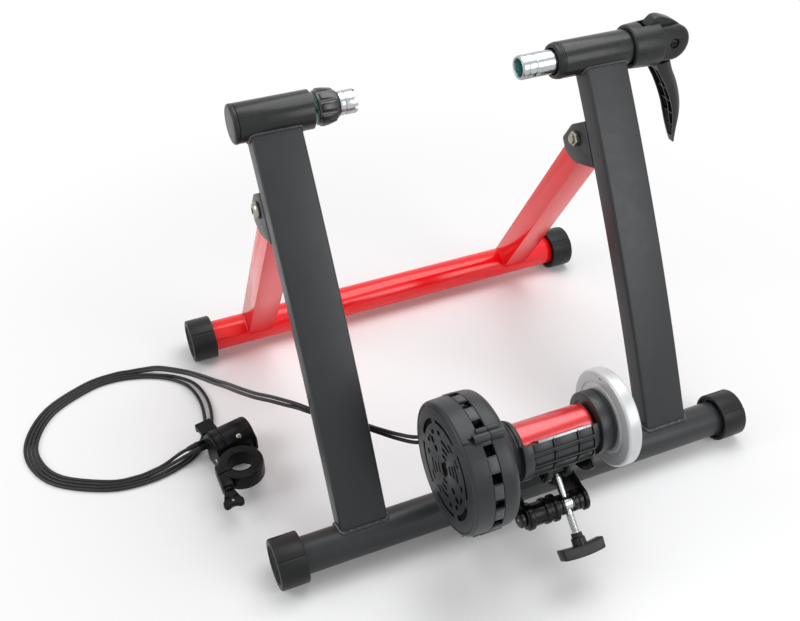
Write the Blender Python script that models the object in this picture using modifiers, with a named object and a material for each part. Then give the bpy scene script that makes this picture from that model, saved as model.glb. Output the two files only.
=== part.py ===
"""Magnetic bike trainer with a folding frame, a roller unit and a cable remote. Metres, +Z up.

Everything is laid out from the axis of the front base tube: X runs along the tube, Y to the rear,
Z up from the floor. The empty "trainer" then moves the whole to the middle of its footprint.
"""
import math

import bmesh
import bpy
from mathutils import Euler, Matrix, Vector

# overall layout
FRONT_Y = -0.1300          # base tube axis, measured from the middle of the footprint
BASE_LENGTH = 0.545        # over the two front feet
REAR_LENGTH = 0.529        # over the two rear feet
REAR_SPREAD = 0.3647       # base tube axis to rear tube axis
UPRIGHT_X = 0.178          # middle of each upright and leg
AXLE_Y = 0.2141            # wheel axle line
AXLE_Z = 0.3888
UPRIGHT_BOW = 0.0079       # how far the uprights bow forward at mid length

# tubes and feet
TUBE_R = 0.0190
REAR_TUBE_R = 0.0185
TUBE_WALL = 0.0015
FOOT_R = 0.0262
FOOT_REST = 0.0256         # tube axis height, the flat under each foot
FOOT_LENGTH = 0.0290
FOOT_END = 0.0040
FOOT_EDGE = 0.0020
FOOT_DISH = 0.0015
UPRIGHT_WIDTH = 0.0500
UPRIGHT_DEPTH = 0.0245
UPRIGHT_CORNER = 0.0030
LEG_WIDTH = 0.0320
LEG_DEPTH = 0.0295
LEG_CORNER = 0.0025

# fold joint
FOLD_Y = 0.1973
FOLD_Z = 0.3022
BRACKET_PLATE = 0.0030
BRACKET_FROM = 0.725       # share of the upright's length where the bracket starts and ends
BRACKET_TO = 0.843
BOLT_R = 0.0049
BOLT_HEAD_R = 0.0088
BOLT_HEAD = 0.0055
LEG_SLEEVE_R = 0.0085

# axle clamp
LEFT_TUBE = (-0.2118, -0.1390)
RIGHT_TUBE = (0.1303, 0.2170)
PLUG_FLANGE = 0.0052
PLUG_SPIGOT = 0.0120
NUT_LENGTH = 0.0190
SPINDLE_R = 0.0050
SPINDLE_LENGTH = 0.0620
KNOB_FROM = -0.1343
KNOB_LENGTH = 0.0212
KNOB_R = 0.0178
KNOB_END_R = 0.0150
KNOB_TIP_R = 0.0125
CUP_FROM = -0.1115
CUP_LENGTH = 0.0175
CUP_R = 0.0117
CUP_BORE_R = 0.0090
CUP_DEPTH = 0.0110
CUP_STUB = 0.0140
BUSH_LENGTH = 0.0070
BUSH_SPIGOT = 0.0120
PLUNGER_FROM = 0.0839
PLUNGER_SLEEVE = 0.0660
PLUNGER_R = 0.0126
PLUNGER_BORE_R = 0.0098
PLUNGER_DEPTH = 0.0120
PLUNGER_TAIL_R = 0.0060
PLUNGER_TAIL = 0.0660

# lever
COLLAR_FROM = 0.2107
COLLAR_TO = 0.2460
COLLAR_SOCKET = 0.0066
COLLAR_WEB_END = 0.2245
COLLAR_R = 0.0229
COLLAR_END_R = 0.0250
PIVOT_X = 0.2645
CHEEK_WIDTH = 0.0280
CHEEK_R = 0.0195
LEVER_HEAD = 0.0130
LEVER_GAP = 0.0004
PIN_R = 0.0030
PIN_HEAD_R = 0.0046
PIN_HEAD = 0.0022
LEVER_WALL = 0.0025

# roller unit
UNIT_Y = -0.0500
UNIT_Z = 0.1446
ROLLER_X = (-0.0470, 0.0340)
ROLLER_R = 0.0213
ROLLER_EDGE = 0.0012
SHAFT_R = 0.0060
SHAFT_X = (-0.1080, 0.0745)
DRUM_FACE = -0.1155
DRUM_SEAM = -0.0875
DRUM_R = 0.0655
DRUM_FACE_STEP = 0.0050
DRUM_FACE_R = DRUM_R - DRUM_FACE_STEP
DRUM_WALL = 0.0025
DRUM_NECK = -0.0502
DRUM_NECK_R = 0.0262
WINDOW_COUNT = 16
WINDOW_WIDTH = 0.0100
WINDOW_LENGTH = 0.0095
BOSS_R = 0.0045
BOSS_LENGTH = 0.0155
BOSS_ANGLE = 115.6
HUB_R = 0.0092
MAGNET_X = (-0.1000, -0.0920)
MAGNET_R = 0.0500
DISC_X = (-0.0815, -0.0785)
DISC_R = 0.0520
BEARING_R = 0.0110
BEARING_WIDTH = 0.0055
TROUGH_R = 0.0236
TROUGH_WALL = 0.0026
CRADLE_R = 0.0340
CRADLE_FROM = 135.0        # the cradle's arc, in degrees from the rear over the top
CRADLE_TO = 315.0
RIB = 0.0025
RIBS = (-0.0395, -0.0170, 0.0085, 0.0250)
RIB_PROUD = 0.0012         # how far the ribs stand over the trough's edges
FLANGE_X = (0.0345, 0.0495)
FLANGE_R = 0.0310
FLYWHEEL_X = (0.0514, 0.0660)
FLYWHEEL_R = 0.0490
FLYWHEEL_EDGE = 0.0020
FLYWHEEL_DISH = 0.0025
STRIP_LENGTH = 0.0560
STRIP_WIDTH = 0.0070
STRIP_THICK = 0.0015

# bracket and tension screw
SWING_Y = -0.0040
SWING_Z = 0.0920
CROSS_Y = -0.0835
CROSS_Z = 0.0810
SWIVEL_Y = -0.0563
SWIVEL_Z = 0.1038
CHEEK_LEFT_X = -0.0445
CHEEK_RIGHT_X = 0.0180
CHEEK_PLATE = 0.0045
LUG_R = 0.0120
BARREL_R = 0.0135
BARREL_END = -0.0126
TRUNNION_R = 0.0078
TRUNNION_HALF = 0.0082
ROD_PLAY = 0.0011          # the cross pin's hole is wider than the rod, so that it can tilt
JOURNAL = 0.0140
ROD_R = 0.0048
ROD_DOWN = 0.0335          # rod length below the cross axis, up to the knob
SWIVEL_R = 0.0078
SWIVEL_HALF = 0.0150
UNIT_LUG = 0.0060
KNOB_HUB_R = 0.0075
KNOB_HUB = 0.0130
BAR_LENGTH = 0.0460
BAR_DEPTH = 0.0100
BAR_THICK = 0.0130

# remote
REMOTE_AT = (-0.2640, 0.1830, 0.0250)
REMOTE_TURN = 13.0
BODY_R = 0.0185
BODY_LENGTH = 0.0490
BODY_FLANGE_R = 0.0192
BODY_FLANGE = 0.0040
# outline of the remote's end plate, (y, z) from the barrel's axis
END_PLATE = [(0.0160, 0.0190), (-0.0020, 0.0215), (-0.0245, 0.0060), (-0.0245, -0.0080), (-0.0150, -0.0185),
             (0.0100, -0.0185), (0.0205, -0.0080), (0.0205, 0.0080)]
END_PLATE_THICK = 0.0036
# outline of the stand under its left end, (y, z) from the barrel's axis
STAND = [(-0.0125, -0.0120), (-0.0085, -0.0247), (0.0085, -0.0247), (0.0125, -0.0120)]
STAND_THICK = 0.0022
LEVER_RING_R = 0.0205
LEVER_RING = 0.0090
RING_AT = (-0.2680, 0.1345, 0.0300)
RING_R = 0.0285
RING_HEIGHT = 0.0180
RING_BORE_R = 0.0150
LINER_WALL = 0.0013
CLAMP_SLIT = 0.0030
THUMB_X = -0.2870
THUMB_R = 0.0025
EAR_FRONT = 0.1080

# cables
CABLE_R = 0.0020
COIL_HALF_WIDTH = 0.0085
COIL_HEIGHT = 0.0090

# clearances
GAP = 0.0003               # between pieces that touch or are welded
RUN = 0.0004               # between a turning piece and what holds it

ALONG_X = (0.0, math.pi / 2, 0.0)
ALONG_Y = (-math.pi / 2, 0.0, 0.0)
SIDE_VIEW = (math.pi / 2, 0.0, math.pi / 2)      # an outline in (y, z), thick along X
FRONT_VIEW = (math.pi / 2, 0.0, 0.0)             # an outline in (x, z), thick along Y
STEPS = 32
FINE = 16

for old in list(bpy.data.objects):
    bpy.data.objects.remove(old)

PARTS = bpy.data.collections.new("bike_trainer")
CUTTERS = bpy.data.collections.new("cutters")
bpy.context.scene.collection.children.link(PARTS)
bpy.context.scene.collection.children.link(CUTTERS)


def make_material(name, colour, metallic, roughness):
    """A Principled material of one colour."""
    made = bpy.data.materials.new(name)
    made.use_nodes = True
    shader = made.node_tree.nodes["Principled BSDF"]
    shader.inputs["Base Color"].default_value = (*colour, 1.0)
    shader.inputs["Metallic"].default_value = metallic
    shader.inputs["Roughness"].default_value = roughness
    made.diffuse_color = (*colour, 1.0)
    return made


PALETTE = {
    "black_paint": ((0.030, 0.032, 0.034), 0.0, 0.45),
    "red_paint": ((0.70, 0.008, 0.012), 0.0, 0.18),
    "red_metal": ((0.62, 0.03, 0.04), 0.7, 0.35),
    "steel": ((0.62, 0.63, 0.64), 1.0, 0.28),
    "grey_paint": ((0.42, 0.43, 0.44), 0.3, 0.40),
    "aluminium": ((0.66, 0.67, 0.68), 1.0, 0.35),
    "magnet": ((0.10, 0.10, 0.11), 0.6, 0.50),
    "black_plastic": ((0.025, 0.026, 0.028), 0.0, 0.50),
    "rubber": ((0.018, 0.018, 0.019), 0.0, 0.70),
    "cable_skin": ((0.012, 0.012, 0.013), 0.0, 0.40),
}


def empty(name, at, parent=None, rotation=(0.0, 0.0, 0.0)):
    """A parent for pieces that share one axis or frame."""
    made = bpy.data.objects.new(name, None)
    PARTS.objects.link(made)
    made.location = at
    made.rotation_euler = rotation
    made.parent = parent
    return made


def keep(made, look, parent):
    """Gives a finished piece its parent and a material of its own, tinted from the palette."""
    colour, metallic, roughness = PALETTE[look]
    made.parent = parent
    made.data.materials.clear()
    made.data.materials.append(make_material(made.name + "_" + look, colour, metallic, roughness))
    return made


def hide(made):
    """Turns an object into a cutter."""
    for owner in list(made.users_collection):
        owner.objects.unlink(made)
    CUTTERS.objects.link(made)
    made.hide_render = True
    made.display_type = "WIRE"
    return made


def mesh_object(name, build):
    """A mesh object whose faces are made by a function that fills a bmesh."""
    data = bpy.data.meshes.new(name)
    work = bmesh.new()
    build(work)
    work.to_mesh(data)
    work.free()
    made = bpy.data.objects.new(name, data)
    PARTS.objects.link(made)
    return made


def place(made, at=(0.0, 0.0, 0.0), rotation=(0.0, 0.0, 0.0)):
    """Sets the place of a piece in the trainer's frame; rotations are radians or a matrix."""
    made.location = at
    made.rotation_euler = rotation.to_euler() if isinstance(rotation, Matrix) else rotation
    return made


def box(name, size, at=(0.0, 0.0, 0.0), rotation=(0.0, 0.0, 0.0)):
    """A box with its middle at a point."""
    def build(work):
        bmesh.ops.create_cube(work, size=1.0)
        bmesh.ops.scale(work, vec=size, verts=work.verts)
    return place(mesh_object(name, build), at, rotation)


def rod(name, radius, length, at=(0.0, 0.0, 0.0), rotation=ALONG_X, sides=FINE):
    """A plain cylinder with its middle at a point."""
    def build(work):
        bmesh.ops.create_cone(work, cap_ends=True, segments=sides, radius1=radius, radius2=radius, depth=length)
    return place(mesh_object(name, build), at, rotation)


def turned(name, profile, at=(0.0, 0.0, 0.0), rotation=ALONG_X, steps=STEPS, ring=False):
    """A body of revolution from (place along the axis, radius) pairs, outer side first from the high end."""
    def build(work):
        row = [work.verts.new((radius, 0.0, along)) for along, radius in profile]
        pairs = list(zip(row, row[1:]))
        if ring:
            pairs.append((row[-1], row[0]))
        for a, b in pairs:
            work.edges.new((a, b))
    made = mesh_object(name, build)
    spin = made.modifiers.new("turn", "SCREW")
    spin.axis = "Z"
    spin.angle = 2 * math.pi
    spin.steps = steps
    spin.render_steps = steps
    spin.use_merge_vertices = True
    spin.merge_threshold = 0.00001
    return place(made, at, rotation)


def sleeve(name, outer, inner, low, high, at=(0.0, 0.0, 0.0), rotation=ALONG_X, steps=STEPS, edge=0.0):
    """A plain round tube between two places along its axis, with small chamfers outside."""
    if edge:
        profile = [(high, inner), (high, outer - edge), (high - edge, outer), (low + edge, outer),
                   (low, outer - edge), (low, inner)]
    else:
        profile = [(high, inner), (high, outer), (low, outer), (low, inner)]
    return turned(name, profile, at, rotation, steps, ring=True)


def solid_mesh(made):
    """Swaps a curve object for a mesh of the same shape with its caps welded on."""
    graph = bpy.context.evaluated_depsgraph_get()
    data = bpy.data.meshes.new_from_object(made.evaluated_get(graph))
    work = bmesh.new()
    work.from_mesh(data)
    bmesh.ops.remove_doubles(work, verts=work.verts, dist=0.000001)
    bmesh.ops.recalc_face_normals(work, faces=work.faces)
    work.to_mesh(data)
    work.free()
    name = made.name
    spot = made.matrix_world.copy()
    bpy.data.objects.remove(made)
    solid = bpy.data.objects.new(name, data)
    PARTS.objects.link(solid)
    solid.matrix_world = spot
    return solid


def plate(name, outlines, thick, at=(0.0, 0.0, 0.0), rotation=SIDE_VIEW):
    """A flat piece from closed outlines, the first one outside and the others holes."""
    data = bpy.data.curves.new(name, "CURVE")
    data.dimensions = "2D"
    data.fill_mode = "BOTH"
    data.extrude = thick / 2
    for outline in outlines:
        line = data.splines.new("POLY")
        line.points.add(len(outline) - 1)
        for point, (u, v) in zip(line.points, outline):
            point.co = (u, v, 0.0, 1.0)
        line.use_cyclic_u = True
    made = bpy.data.objects.new(name, data)
    PARTS.objects.link(made)
    place(made, at, rotation)
    bpy.context.view_layer.update()
    return solid_mesh(made)


def pipe(name, points, radius, resolution=2, cyclic=False):
    """A round tube or cord along points, with filled ends."""
    data = bpy.data.curves.new(name, "CURVE")
    data.dimensions = "3D"
    data.bevel_depth = radius
    data.bevel_resolution = resolution
    data.use_fill_caps = not cyclic
    line = data.splines.new("POLY")
    line.points.add(len(points) - 1)
    for point, where in zip(line.points, points):
        point.co = (*where, 1.0)
    line.use_cyclic_u = cyclic
    made = bpy.data.objects.new(name, data)
    PARTS.objects.link(made)
    bpy.context.view_layer.update()
    return solid_mesh(made)


def combine(target, tool, operation):
    """Cuts a piece by a tool, or joins the tool's shape to it."""
    step = target.modifiers.new(operation.lower(), "BOOLEAN")
    step.operation = operation
    step.solver = "EXACT"
    step.object = hide(tool)
    return target


def cut(target, *tools):
    for tool in tools:
        combine(target, tool, "DIFFERENCE")
    return target


def join(target, *tools):
    for tool in tools:
        combine(target, tool, "UNION")
    return target


def bevel(made, width, segments=2, angle=40.0):
    """Rounds the sharp edges of a piece before its cuts are made."""
    step = made.modifiers.new("round", "BEVEL")
    step.width = width
    step.segments = segments
    step.limit_method = "ANGLE"
    step.angle_limit = math.radians(angle)
    return made


def arc(centre, radius, start, stop, count):
    """Points along an arc, angles in degrees."""
    turn = [math.radians(start + (stop - start) * i / count) for i in range(count + 1)]
    return [(centre[0] + radius * math.cos(t), centre[1] + radius * math.sin(t)) for t in turn]


def circle(centre, radius, count=FINE):
    return arc(centre, radius, 0.0, 360.0 * (count - 1) / count, count - 1)


def smooth_path(points, spacing, cyclic=False):
    """Evenly spaced points on a smooth curve through the chosen ones."""
    nodes = [Vector(p) for p in points]
    count = len(nodes)
    dense = []
    for i in range(count if cyclic else count - 1):
        if cyclic:
            a, b, c, d = (nodes[(i + k) % count] for k in (-1, 0, 1, 2))
        else:
            b, c = nodes[i], nodes[i + 1]
            a = nodes[i - 1] if i else b * 2 - c
            d = nodes[i + 2] if i + 2 < count else c * 2 - b
        for k in range(24):
            t = k / 24
            dense.append(0.5 * (2 * b + (c - a) * t + (2 * a - 5 * b + 4 * c - d) * t * t
                                + (3 * b - a - 3 * c + d) * t ** 3))
    dense.append(nodes[0] if cyclic else nodes[-1])
    run = [0.0]
    for p, q in zip(dense, dense[1:]):
        run.append(run[-1] + (q - p).length)
    steps = max(2, round(run[-1] / spacing))
    even, at = [], 0
    for i in range(steps if cyclic else steps + 1):
        want = run[-1] * i / steps
        while at < len(run) - 2 and run[at + 1] < want:
            at += 1
        share = (want - run[at]) / max(run[at + 1] - run[at], 1e-9)
        even.append(dense[at].lerp(dense[at + 1], share))
    return even


def link_outline(ends, radii, count=10):
    """The outline of a link plate: two round ends joined by their common tangents."""
    (p, q), (a, b) = [Vector(e) for e in ends], radii
    along = q - p
    lean = math.degrees(math.asin((a - b) / along.length))
    base = math.degrees(math.atan2(along.y, along.x))
    return (arc(q, b, base - 90.0 + lean, base + 90.0 - lean, count)
            + arc(p, a, base + 90.0 - lean, base + 270.0 + lean, count))


trainer = empty("trainer", (0.0, FRONT_Y, 0.0))


# base tube, rear tube and the four rubber feet

def foot(name, side, tube_y, tube_r, half_length, parent):
    """A round rubber cap pushed over a tube's end, with a flat to stand on."""
    bore = tube_r + GAP
    profile = [(FOOT_LENGTH - FOOT_DISH, 0.0), (FOOT_LENGTH - FOOT_DISH, tube_r - 0.0010),
               (FOOT_LENGTH, tube_r), (FOOT_LENGTH, FOOT_R - FOOT_EDGE), (FOOT_LENGTH - FOOT_EDGE, FOOT_R),
               (FOOT_EDGE / 2, FOOT_R), (0.0, FOOT_R - FOOT_EDGE / 2), (0.0, bore),
               (FOOT_LENGTH - FOOT_END, bore), (FOOT_LENGTH - FOOT_END, 0.0)]
    inner_end = side * (half_length - FOOT_LENGTH)
    made = turned(name, profile, (inner_end, tube_y, FOOT_REST), (0.0, side * math.pi / 2, 0.0))
    floor = box(name + "_floor", (3 * FOOT_LENGTH, 3 * FOOT_R, FOOT_R),
                (inner_end, tube_y, -FOOT_R / 2))
    floor.parent = parent
    return keep(cut(made, floor), "rubber", parent)


def tube_reach(half_length):
    return half_length - FOOT_END - GAP


def plain_tube(name, outer, low, high, at, look, parent):
    return keep(sleeve(name, outer, outer - TUBE_WALL, low, high, at), look, parent)


plain_tube("base_tube", TUBE_R, -tube_reach(BASE_LENGTH / 2), tube_reach(BASE_LENGTH / 2),
           (0.0, 0.0, FOOT_REST), "black_paint", trainer)
foot("front_left_foot", -1, 0.0, TUBE_R, BASE_LENGTH / 2, trainer)
foot("front_right_foot", 1, 0.0, TUBE_R, BASE_LENGTH / 2, trainer)


# uprights: bowed rectangular tubes between the base tube and the axle tubes

FOOT_POINT = Vector((0.0, FOOT_REST))
RISE = Vector((AXLE_Y, AXLE_Z)) - FOOT_POINT
RISE_UNIT = RISE.normalized()
FORWARD = Vector((-RISE_UNIT.y, RISE_UNIT.x))


def on_upright(share, offset):
    """A (y, z) point beside the upright's bowed centre line; offset is positive toward the front."""
    slope = UPRIGHT_BOW * 4 * (1 - 2 * share) / RISE.length
    normal = (FORWARD - RISE_UNIT * slope).normalized()
    centre = FOOT_POINT + RISE * share + FORWARD * (UPRIGHT_BOW * 4 * share * (1 - share))
    return centre + normal * offset


def upright_band(offset, low, high, count=12):
    shares = [low + (high - low) * i / count for i in range(count + 1)]
    return ([on_upright(s, -offset) for s in shares] + [on_upright(s, offset) for s in reversed(shares)])


def upright(name, side):
    x = side * UPRIGHT_X
    made = plate(name, [upright_band(UPRIGHT_DEPTH / 2, 0.0, 1.0)], UPRIGHT_WIDTH, (x, 0.0, 0.0))
    bevel(made, UPRIGHT_CORNER, 2)
    hollow = plate(name + "_hollow", [upright_band(UPRIGHT_DEPTH / 2 - TUBE_WALL, -0.02, 1.02)],
                   UPRIGHT_WIDTH - 2 * TUBE_WALL, (x, 0.0, 0.0))
    lower = rod(name + "_lower_saddle", TUBE_R + GAP, UPRIGHT_WIDTH * 2, (x, 0.0, FOOT_REST), sides=STEPS)
    upper = rod(name + "_upper_saddle", TUBE_R + GAP, UPRIGHT_WIDTH * 2, (x, AXLE_Y, AXLE_Z), sides=STEPS)
    for tool in (hollow, lower, upper):
        tool.parent = trainer
    return keep(cut(made, hollow, lower, upper), "black_paint", trainer)


upright("left_upright", -1)
upright("right_upright", 1)


# fold brackets, bolts and nuts

fold = Vector((FOLD_Y, FOLD_Z))
bracket_low = on_upright(BRACKET_FROM, -UPRIGHT_DEPTH / 2 - GAP)
bracket_high = on_upright(BRACKET_TO, -UPRIGHT_DEPTH / 2 - GAP)
# the rim behind the bolt, in leg depths from the fold axis
bracket_rim = [fold + Vector(v) * LEG_DEPTH for v in ((0.420, 0.363), (0.922, -0.427), (0.631, -0.831),
                                                      (0.095, -0.973), (-0.251, -0.915))]
bracket_outline = [bracket_low, bracket_high] + bracket_rim
plate_outer = UPRIGHT_X + UPRIGHT_WIDTH / 2 - BRACKET_PLATE / 2
plate_inner = UPRIGHT_X - UPRIGHT_WIDTH / 2 + BRACKET_PLATE / 2

for side, word in ((-1, "left"), (1, "right")):
    for x, which in ((plate_inner, "inner"), (plate_outer, "outer")):
        made = plate("%s_fold_bracket_%s" % (word, which), [bracket_outline, circle(fold, BOLT_R + GAP)],
                     BRACKET_PLATE, (side * x, 0.0, 0.0))
        keep(made, "black_paint", trainer)
    outside = UPRIGHT_X + UPRIGHT_WIDTH / 2 + GAP
    inside = UPRIGHT_X - UPRIGHT_WIDTH / 2 - GAP
    bolt = turned(word + "_fold_bolt",
                  [(outside + BOLT_HEAD, 0.0), (outside + BOLT_HEAD, BOLT_HEAD_R - 0.0012),
                   (outside + BOLT_HEAD - 0.0012, BOLT_HEAD_R), (outside, BOLT_HEAD_R), (outside, BOLT_R),
                   (inside - BOLT_HEAD - 0.0020, BOLT_R), (inside - BOLT_HEAD - 0.0020, 0.0)],
                  (0.0, FOLD_Y, FOLD_Z), (0.0, side * math.pi / 2, 0.0), FINE)
    keep(bolt, "steel", trainer)
    nut = sleeve(word + "_fold_nut", BOLT_HEAD_R, BOLT_R + GAP, inside - BOLT_HEAD, inside,
                 (0.0, FOLD_Y, FOLD_Z), (0.0, side * math.pi / 2, 0.0), FINE, 0.0010)
    keep(nut, "steel", trainer)


# rear frame, turning on the two fold bolts

rear = empty("rear_frame", (0.0, FOLD_Y, FOLD_Z), trainer)
rear_axis = Vector((REAR_SPREAD - FOLD_Y, FOOT_REST - FOLD_Z))
leg_length = rear_axis.length
leg_unit = rear_axis.normalized()
leg_side = Vector((leg_unit.y, -leg_unit.x))


def leg_band(half, low, high):
    return [leg_unit * low - leg_side * half, leg_unit * high - leg_side * half,
            leg_unit * high + leg_side * half, leg_unit * low + leg_side * half]


def leg(name, side):
    x = side * UPRIGHT_X
    turn = math.degrees(math.atan2(leg_unit.y, leg_unit.x))
    half = LEG_DEPTH / 2
    round_end = arc((0.0, 0.0), half, turn + 90.0, turn + 270.0, 12)
    made = plate(name, [round_end + leg_band(half, 0.0, leg_length)[2:0:-1]], LEG_WIDTH, (x, 0.0, 0.0))
    bevel(made, LEG_CORNER, 2)
    hollow = plate(name + "_hollow", [leg_band(half - TUBE_WALL, -2 * half, leg_length + half)],
                   LEG_WIDTH - 2 * TUBE_WALL, (x, 0.0, 0.0))
    saddle = rod(name + "_saddle", REAR_TUBE_R + GAP, 2 * LEG_WIDTH, (x, rear_axis.x, rear_axis.y), sides=STEPS)
    pivot = rod(name + "_sleeve", LEG_SLEEVE_R, UPRIGHT_WIDTH - 2 * BRACKET_PLATE - 2 * GAP - 2 * RUN, (x, 0.0, 0.0))
    bore = rod(name + "_bore", BOLT_R + RUN, 2 * UPRIGHT_WIDTH, (x, 0.0, 0.0))
    for tool in (hollow, saddle, pivot, bore):
        tool.parent = rear
    cut(made, hollow, saddle)
    join(made, pivot)
    return keep(cut(made, bore), "red_paint", rear)


leg("rear_left_leg", -1)
leg("rear_right_leg", 1)
plain_tube("rear_tube", REAR_TUBE_R, -tube_reach(REAR_LENGTH / 2), tube_reach(REAR_LENGTH / 2),
           (0.0, rear_axis.x, rear_axis.y), "red_paint", rear)


def rear_foot(name, side):
    made = foot(name, side, REAR_SPREAD, REAR_TUBE_R, REAR_LENGTH / 2, trainer)
    made.parent = rear
    made.location -= Vector((0.0, FOLD_Y, FOLD_Z))
    return made


rear_foot("rear_left_foot", -1)
rear_foot("rear_right_foot", 1)


# axle tubes, the left one with its adjuster

axle = empty("axle_line", (0.0, AXLE_Y, AXLE_Z), trainer)
tube_bore = TUBE_R - TUBE_WALL
plain_tube("left_axle_tube", TUBE_R, LEFT_TUBE[0], LEFT_TUBE[1], (0.0, 0.0, 0.0), "black_paint", axle)
plain_tube("right_axle_tube", TUBE_R, RIGHT_TUBE[0], RIGHT_TUBE[1], (0.0, 0.0, 0.0), "black_paint", axle)

plug_out = LEFT_TUBE[0] - GAP
keep(turned("left_tube_plug", [(plug_out + PLUG_SPIGOT, 0.0), (plug_out + PLUG_SPIGOT, tube_bore - GAP),
                               (plug_out, tube_bore - GAP), (plug_out, TUBE_R + 0.0002),
                               (plug_out - PLUG_FLANGE + 0.0018, TUBE_R + 0.0002),
                               (plug_out - PLUG_FLANGE, TUBE_R - 0.0020), (plug_out - PLUG_FLANGE, 0.0)]),
     "black_plastic", axle)
keep(sleeve("adjuster_nut", tube_bore - GAP, SPINDLE_R + RUN, LEFT_TUBE[1] - NUT_LENGTH, LEFT_TUBE[1] - GAP),
     "steel", axle)

adjuster = empty("adjuster", (0.0, 0.0, 0.0), axle)
knob_to = KNOB_FROM + KNOB_LENGTH
knob = turned("adjuster_knob",
              [(knob_to, SPINDLE_R + RUN), (knob_to, KNOB_TIP_R), (knob_to - 0.0040, KNOB_END_R - 0.0003),
               (knob_to - 0.0045, KNOB_END_R), (knob_to - 0.0150, KNOB_R), (KNOB_FROM + 0.0008, KNOB_R),
               (KNOB_FROM, KNOB_R - 0.0008), (KNOB_FROM, SPINDLE_R + RUN)], ring=True)
grips = []
for i in range(8):
    around = 2 * math.pi * i / 8
    reach = KNOB_R + 0.0012
    grips.append(rod("knob_flute_%d" % i, 0.0026, 0.0120,
                     (KNOB_FROM + 0.0058, reach * math.cos(around), reach * math.sin(around)), sides=6))
for tool in grips:
    tool.parent = adjuster
keep(cut(knob, *grips), "black_plastic", adjuster)
spindle_to = knob_to - 0.0140
keep(turned("adjuster_spindle", [(spindle_to, 0.0), (spindle_to, SPINDLE_R - 0.0008), (spindle_to - 0.0008, SPINDLE_R),
                                 (spindle_to - SPINDLE_LENGTH + 0.0008, SPINDLE_R),
                                 (spindle_to - SPINDLE_LENGTH, SPINDLE_R - 0.0008),
                                 (spindle_to - SPINDLE_LENGTH, 0.0)], steps=FINE), "steel", adjuster)
cup_to = CUP_FROM + CUP_LENGTH
cup = turned("axle_cup", [(cup_to - CUP_DEPTH, 0.0), (cup_to - CUP_DEPTH, CUP_BORE_R - 0.0010),
                          (cup_to, CUP_BORE_R), (cup_to, CUP_R), (CUP_FROM + 0.0006, CUP_R),
                          (CUP_FROM, CUP_R - 0.0006), (CUP_FROM, SPINDLE_R - RUN),
                          (CUP_FROM - CUP_STUB, SPINDLE_R - RUN), (CUP_FROM - CUP_STUB, 0.0)])
notches = []
for i in range(4):
    notches.append(box("cup_notch_%d" % i, (0.0050, 3 * CUP_R, 0.0032), (cup_to, 0.0, 0.0),
                       (math.pi * i / 4, 0.0, 0.0)))
for tool in notches:
    tool.parent = axle
keep(cut(cup, *notches), "steel", axle)


# the quick lever side: bush, plunger, housing, pivot screw and lever

bush_face = RIGHT_TUBE[0] - GAP
keep(turned("right_tube_bush",
            [(bush_face + BUSH_SPIGOT, PLUNGER_R + RUN), (bush_face + BUSH_SPIGOT, tube_bore - GAP),
             (bush_face, tube_bore - GAP), (bush_face, TUBE_R), (bush_face - 0.0010, TUBE_R),
             (bush_face - BUSH_LENGTH, TUBE_R - 0.0028), (bush_face - BUSH_LENGTH, PLUNGER_R + RUN)], ring=True),
     "black_plastic", axle)

plunger_to = PLUNGER_FROM + PLUNGER_SLEEVE
tail_to = plunger_to + PLUNGER_TAIL
plunger = turned("axle_plunger",
                 [(tail_to, 0.0), (tail_to, PLUNGER_TAIL_R), (plunger_to, PLUNGER_TAIL_R), (plunger_to, PLUNGER_R),
                  (PLUNGER_FROM + 0.0160, PLUNGER_R), (PLUNGER_FROM + 0.0156, PLUNGER_R - 0.0008),
                  (PLUNGER_FROM + 0.0144, PLUNGER_R - 0.0008), (PLUNGER_FROM + 0.0140, PLUNGER_R),
                  (PLUNGER_FROM + 0.0010, PLUNGER_R), (PLUNGER_FROM, PLUNGER_R - 0.0008),
                  (PLUNGER_FROM, PLUNGER_BORE_R), (PLUNGER_FROM + PLUNGER_DEPTH, PLUNGER_BORE_R - 0.0010),
                  (PLUNGER_FROM + PLUNGER_DEPTH, 0.0)])
keep(plunger, "steel", axle)

housing = turned("lever_housing",
                 [(COLLAR_TO, 0.0), (COLLAR_TO, COLLAR_END_R - 0.0015), (COLLAR_TO - 0.0015, COLLAR_END_R),
                  (COLLAR_FROM + 0.0010, COLLAR_R), (COLLAR_FROM, COLLAR_R - 0.0010), (COLLAR_FROM, TUBE_R + GAP),
                  (COLLAR_FROM + COLLAR_SOCKET, TUBE_R + GAP), (COLLAR_FROM + COLLAR_SOCKET, 0.0)])
pivot = Vector((PIVOT_X, 0.0))
cheek = plate("housing_cheeks", [[(COLLAR_TO - 0.0100, CHEEK_R)] + arc(pivot, CHEEK_R, 90.0, -90.0, 16)[::1]
                                 + [(COLLAR_TO - 0.0100, -CHEEK_R)]], CHEEK_WIDTH, rotation=FRONT_VIEW)
slot = box("lever_slot", (0.0900, LEVER_HEAD + 2 * LEVER_GAP, 0.0800), (COLLAR_WEB_END + 0.0450, 0.0, 0.0))
tail_bore = rod("tail_bore", PLUNGER_TAIL_R + RUN, 0.0400, (COLLAR_FROM + 0.0150, 0.0, 0.0))
pin_bore = rod("pin_bore", PIN_R + GAP, 0.0600, (PIVOT_X, 0.0, 0.0), ALONG_Y)
pin_seat = rod("pin_seat", PIN_HEAD_R + GAP, 2 * (PIN_HEAD + GAP), (PIVOT_X, -CHEEK_WIDTH / 2, 0.0), ALONG_Y)
for tool in (cheek, slot, tail_bore, pin_bore, pin_seat):
    tool.parent = axle
join(housing, cheek)
keep(cut(housing, slot, tail_bore, pin_bore, pin_seat), "black_plastic", axle)

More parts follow.
